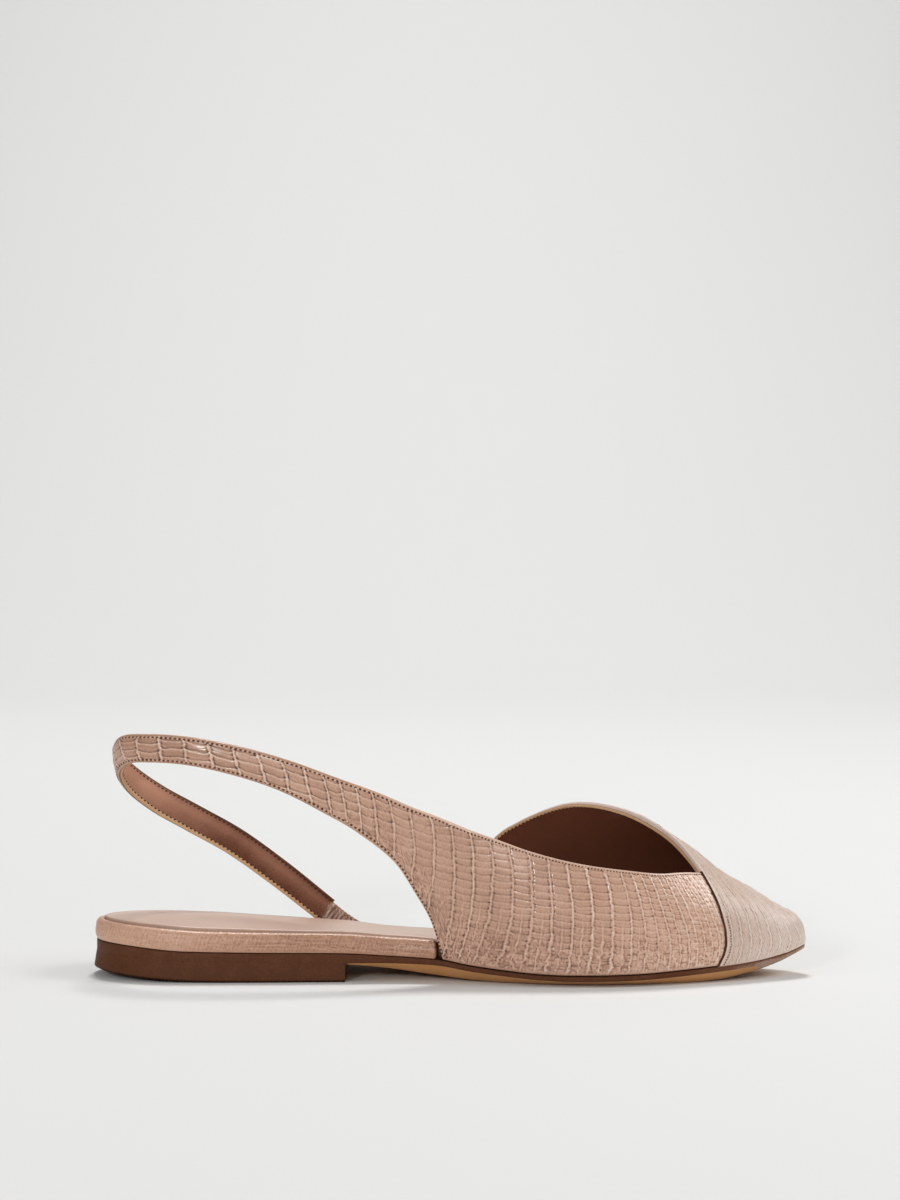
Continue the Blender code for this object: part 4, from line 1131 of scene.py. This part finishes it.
def makeSole():
    # painted edge over the tan leather: from the top down the band, and on down to the tread where the heel sits
    sole = {
        "start": 0.8, "end": 261.6, "paintedTo": 95.0, "paintFade": 3.0, "toePaint": 243.0, "toeFade": 4.0,
        "paint": 0.06, "bevelFrom": 0.3, "hollow": 0.09, "flat": (1.2, 4.0), "paleToe": (212, 250),
    }
    x = ringOutline(sole["start"] + 0.1, sole["end"] - 0.1)
    top, tread, bevel, band = (readTable(soleTable, name, x) for name in ("top", "tread", "bevel", "band"))
    low = top - band

    def put(inset, z):
        return ringRow(x, inset, z, sole["start"], sole["end"])

    slope = [
        (sole["bevelFrom"] + (bevel - sole["bevelFrom"]) * t,
         low * (1 - t) + tread * t - (low - tread) * sole["hollow"] * math.sin(math.pi * t))
        for t in np.linspace(0, 1, 9)
    ]
    painted = 1 - ease(x, sole["paintedTo"] - sole["paintFade"], sole["paintedTo"])
    soft = 1 - painted
    lip = (sole["bevelFrom"] - sole["paint"]) * soft
    edge = [
        put(3.0, top - 0.05), put(0.35, top), put(0.1, top - 0.08), put(0.0, top - 0.3),
        put(-0.02 * soft, top - band * 0.5), put(0.0, low + 0.25), put(0.1 * soft, low + 0.05), put(lip, low),
    ]
    edge += [put(lip, low * (1 - t * painted) + tread * t * painted) for t in (0.35, 0.7, 1.0)]
    edge.append(put(lip + bevel * painted, low * soft + tread * painted))
    # and again under the toe, where the bevel is painted too
    tip = ease(x, sole["toePaint"] - sole["toeFade"], sole["toePaint"])
    behind = edge[-1][:len(x), 2][::-1]
    edge += [
        put((1 - tip) * (lip + bevel * painted) + tip * (inset - sole["paint"]), (1 - tip) * behind + tip * z)
        for inset, z in slope[2::2]
    ]
    toe = ease(x, *sole["paleToe"])
    lighter = np.interp(np.arange(len(edge)), (2, 4, 7, len(edge) - 1), (0.3, 0.75, 1.0, 1.0))[:, None]
    tone = lighter * np.concatenate([toe[::-1], toe])
    edgePatch = patch(np.stack(edge), tone, flip=True, closed=True)
    makePiece("soleEdge", [edgePatch], paintedEdge, ["outsole"])
    under = [put(inset, z) for inset, z in slope] + [put(bevel + further, tread) for further in sole["flat"]]
    place = drawnIn(x, bevel + sole["flat"][-1], sole["start"], sole["end"])
    middle = (readTable(soleTable, "outer", place) - readTable(soleTable, "inner", place)) / 2
    centre = np.stack([place, middle, np.interp(place, x, tread) - soleTilt(place, middle)], -1)
    under = np.stack(under + [np.concatenate([centre[::-1], centre])])
    under[..., 2] = np.maximum(under[..., 2], 0.0)
    makePiece("soleTread", [patch(under, 0.0, flip=True, closed=True)], soleTan)


def makeHeel():
    # rows from the top down the side to the toothed foot, each a ring closed by the straight breast
    heel = {
        "start": 0.8, "breast": 93.0, "breastColumns": 60, "flare": 0.9, "lift": 2.6, "liftLength": 46.0,
        "tooth": 1.3, "toothDeep": 0.5, "pitch": 0.2, "sideRows": 12, "sideTo": 1.0,
    }
    innerX, outerX = backwardsAndBack(heel["breast"], heel["breast"], heel["start"], 260)
    innerY, outerY = soleEdges(innerX, 0.0, heel["start"])[0], soleEdges(outerX, 0.0, heel["start"])[1]
    line = evenly(outlinePath((innerX, innerY), (outerX, outerY)), heel["pitch"])
    outwards = -np.cross(unit(np.gradient(line, axis=0)), [0.0, 0.0, 1.0])
    x, y = line[:, 0], line[:, 1]
    top = readTable(soleTable, "tread", x) - soleTilt(x, y)
    floor = heel["lift"] * np.clip(1 - x / heel["liftLength"], 0, 1) ** 1.4
    teeth = heel["toothDeep"] * (0.5 - 0.5 * np.cos(2 * math.pi * travelAlong(line) / heel["tooth"]))
    across = np.linspace(0, 1, heel["breastColumns"] + 2)[1:-1, None]
    rows, tones = [], []

    def addRow(out, z, shade):
        side = line + outwards * np.reshape(out, (-1, 1))
        side[:, 0] = np.where(x > heel["breast"] - 2, np.minimum(side[:, 0], heel["breast"]), side[:, 0])
        side[:, 2] = z
        rows.append(np.concatenate([side, side[-1] + (side[0] - side[-1]) * across]))
        tones.append(np.concatenate([shade + 0 * x, np.full(heel["breastColumns"], -0.2)]))

    for t in np.linspace(0, 1, heel["sideRows"]):
        addRow(heel["flare"] * t, top * (1 - t) + (floor + heel["sideTo"]) * t, 0.0)
    # painted shade: the foot darkens, most in the notches between the teeth, and is near black under its undercut
    # edge
    addRow(heel["flare"] - teeth * 0.8, floor + 0.75, 0.1 - teeth)
    addRow(heel["flare"] - 0.15 - teeth * 1.2, floor + 0.45, -0.2 - teeth)
    addRow(heel["flare"] - 1.1, floor + 0.35, -0.9)
    addRow(heel["flare"] - 1.2, floor, -0.9)
    grid = np.stack(rows)
    lid, under = grid[0].copy(), grid[-1].copy()
    lid[:, 1] = under[:, 1] = 0.0
    shade = np.concatenate([np.stack(tones), np.full((2, grid.shape[1]), -0.3)])
    cap = np.stack([lid, grid[0]])
    grid = np.concatenate([grid, ((grid[-1] + under) / 2)[None], under[None]])
    block = [patch(grid, shade, flip=True, closed=True), patch(cap, -0.2, flip=True, closed=True)]
    makePiece("heelBlock", block, heelBrown, ["heel"], sharp=50)


def makeElastic():
    # a flat closed band along its path, pleated across by a sine wave
    elastic = {
        "width": 8.0, "thick": 1.3, "pleat": 1.6, "deep": 0.38, "weave": 4.2, "along": 120, "sides": 48,
        "seed": 91, "path": (
            (83.5, 27.1, 20.2), (85.0, 27.3, 19.0), (88.6, 27.9, 16.0), (92.4, 28.6, 13.2), (96.4, 28.9, 10.6)),
    }
    path = np.array(elastic["path"])
    fine = np.linspace(0, len(path) - 1, elastic["along"])
    middle = np.stack([curveThrough(np.arange(len(path)), line, fine, flat=False) for line in path.T], -1)
    ahead = unit(np.gradient(middle, axis=0))
    out = unit(np.cross([0.0, 0.0, 1.0], ahead))
    up = np.cross(ahead, out)
    travel = travelAlong(middle)[:, None]
    turn = ringTurns(elastic["sides"])
    across = np.sign(np.cos(turn)) * np.abs(np.cos(turn)) ** 0.35 * elastic["width"] / 2
    depth = elastic["thick"] / 2 * (1 + np.sign(np.sin(turn)) * np.abs(np.sin(turn)) ** 0.6)
    weave = across * elastic["weave"]
    wave = np.sin(2 * math.pi * (travel + 0.35 * np.sin(weave)) / elastic["pleat"])
    wave = wave * (0.65 + 0.35 * np.cos(weave))
    wave = wave + 0.7 * softNoise(travel / 0.8, across[None] / 1.1 + 9.0, elastic["seed"])
    grid = middle[:, None] + up[:, None] * across[None, :, None]
    grid = grid + out[:, None] * (depth + elastic["deep"] * wave)[..., None]
    # the tone follows the pleats and lumps, lighter on crests and darker in troughs: the weave's mottling and also
    # painted light and shade
    makePiece("elastic", [patch(grid, 0.85 * wave, closed=True)], elasticWeave, ["strap_elastic"])


makeRand()
makeSock()
makeSole()
makeHeel()
makeElastic()


# Studio: a pale sweep, soft light from above and the right, and the camera

studio = {
    "cameraPlace": (0.0, -1.250, 0.18236), "cameraPitch": 2.052, "halfFrame": 450.0, "focal": 3401.2,
    "floorTone": (0.80, 0.80, 0.79), "worldTone": (1.0, 1.0, 0.995), "worldStrength": 0.22,
}
sweepForm = {"front": -3.0, "bendFrom": 1.6, "bendRound": 1.2, "top": 5.0, "halfWidth": 4.0, "dimmed": 0.985}


def makeSweep():
    # a floor that runs back and curves up into a wall on a wide quarter circle
    bend, radius = np.linspace(0, math.pi / 2, 40), sweepForm["bendRound"]
    wall = sweepForm["bendFrom"] + radius
    y = np.concatenate([[sweepForm["front"]], sweepForm["bendFrom"] + radius * np.sin(bend), [wall]])
    z = np.concatenate([[0.0], radius * (1 - np.cos(bend)), [sweepForm["top"]]])
    x = np.linspace(-sweepForm["halfWidth"], sweepForm["halfWidth"], 9)
    grid = np.stack(np.broadcast_arrays(x, y[:, None], z[:, None]), -1)
    mesh = bpy.data.meshes.new("sweep")
    mesh.from_pydata(grid.reshape(-1, 3).tolist(), [], gridQuads(*grid.shape[:2])[:, ::-1].tolist())
    mesh.shade_smooth()
    material, tree, shader = makeMaterial("paleSweep", {"Roughness": 0.9, "Specular IOR Level": 0.1})
    place = addNode(tree, "TexCoord")
    cloud = addNode(tree, "TexNoise", Scale=1.5, Detail=2.0)
    tree.links.new(place.outputs["Object"], cloud.inputs["Vector"])
    ramp = addNode(tree, "ValToRGB")
    dimmed = tuple(sweepForm["dimmed"] * v for v in studio["floorTone"])
    rampColours(ramp, [(0.0, dimmed), (1.0, studio["floorTone"])])
    tree.links.new(cloud.outputs["Fac"], ramp.inputs["Fac"])
    tree.links.new(ramp.outputs["Color"], shader.inputs["Base Color"])
    mesh.materials.append(material)
    sweep = bpy.data.objects.new("sweep", mesh)
    bpy.context.scene.collection.objects.link(sweep)


def addLight(name, place, size, power, aim=(0.0, 0.0, 0.03), spread=180.0):
    # a round area light at a place, turned towards its aim
    lamp = bpy.data.lights.new(name, "AREA")
    lamp.shape = "DISK"
    lamp.size = size
    lamp.energy = power
    lamp.spread = math.radians(spread)
    light = bpy.data.objects.new(name, lamp)
    light.location = place
    toward = unit(np.array(aim, float) - np.array(place, float))
    light.rotation_euler = (math.acos(-toward[2]), 0.0, math.atan2(toward[0], -toward[1]) + math.pi)
    bpy.context.scene.collection.objects.link(light)


makeSweep()
addLight("keyLight", (0.0, 1.0, 2.35), 0.6, 33.8)
addLight("sideLight", (1.2, -0.05, 0.95), 0.8, 8.0)
addLight("frontLight", (0.5, -2.0, 0.6), 2.2, 5.5)
addLight("glintLight", (-0.72, -2.0, 0.70), 0.33, 10.5)
addLight("fillLight", (-1.4, -1.0, 0.9), 1.2, 4.0)
addLight("wallLight", (0.0, 1.6, 2.4), 0.8, 7.3, (0.0, 2.75, 0.5), 120.0)
world = bpy.data.worlds.new("studioWorld")
world.use_nodes = True
world.node_tree.nodes["Background"].inputs["Color"].default_value = (*studio["worldTone"], 1.0)
world.node_tree.nodes["Background"].inputs["Strength"].default_value = studio["worldStrength"]
bpy.context.scene.world = world
bpy.context.scene.view_settings.view_transform = "Standard"

lens = bpy.data.cameras.new("photoCamera")
lens.sensor_fit = "HORIZONTAL"
lens.angle = 2 * math.atan(studio["halfFrame"] / studio["focal"])
lens.clip_start = 0.01
lens.dof.use_dof = False
camera = bpy.data.objects.new("photoCamera", lens)
camera.location = studio["cameraPlace"]
camera.rotation_euler = (math.radians(90 - studio["cameraPitch"]), 0.0, 0.0)
bpy.context.scene.collection.objects.link(camera)
bpy.context.scene.camera = camera
print("studio ready")
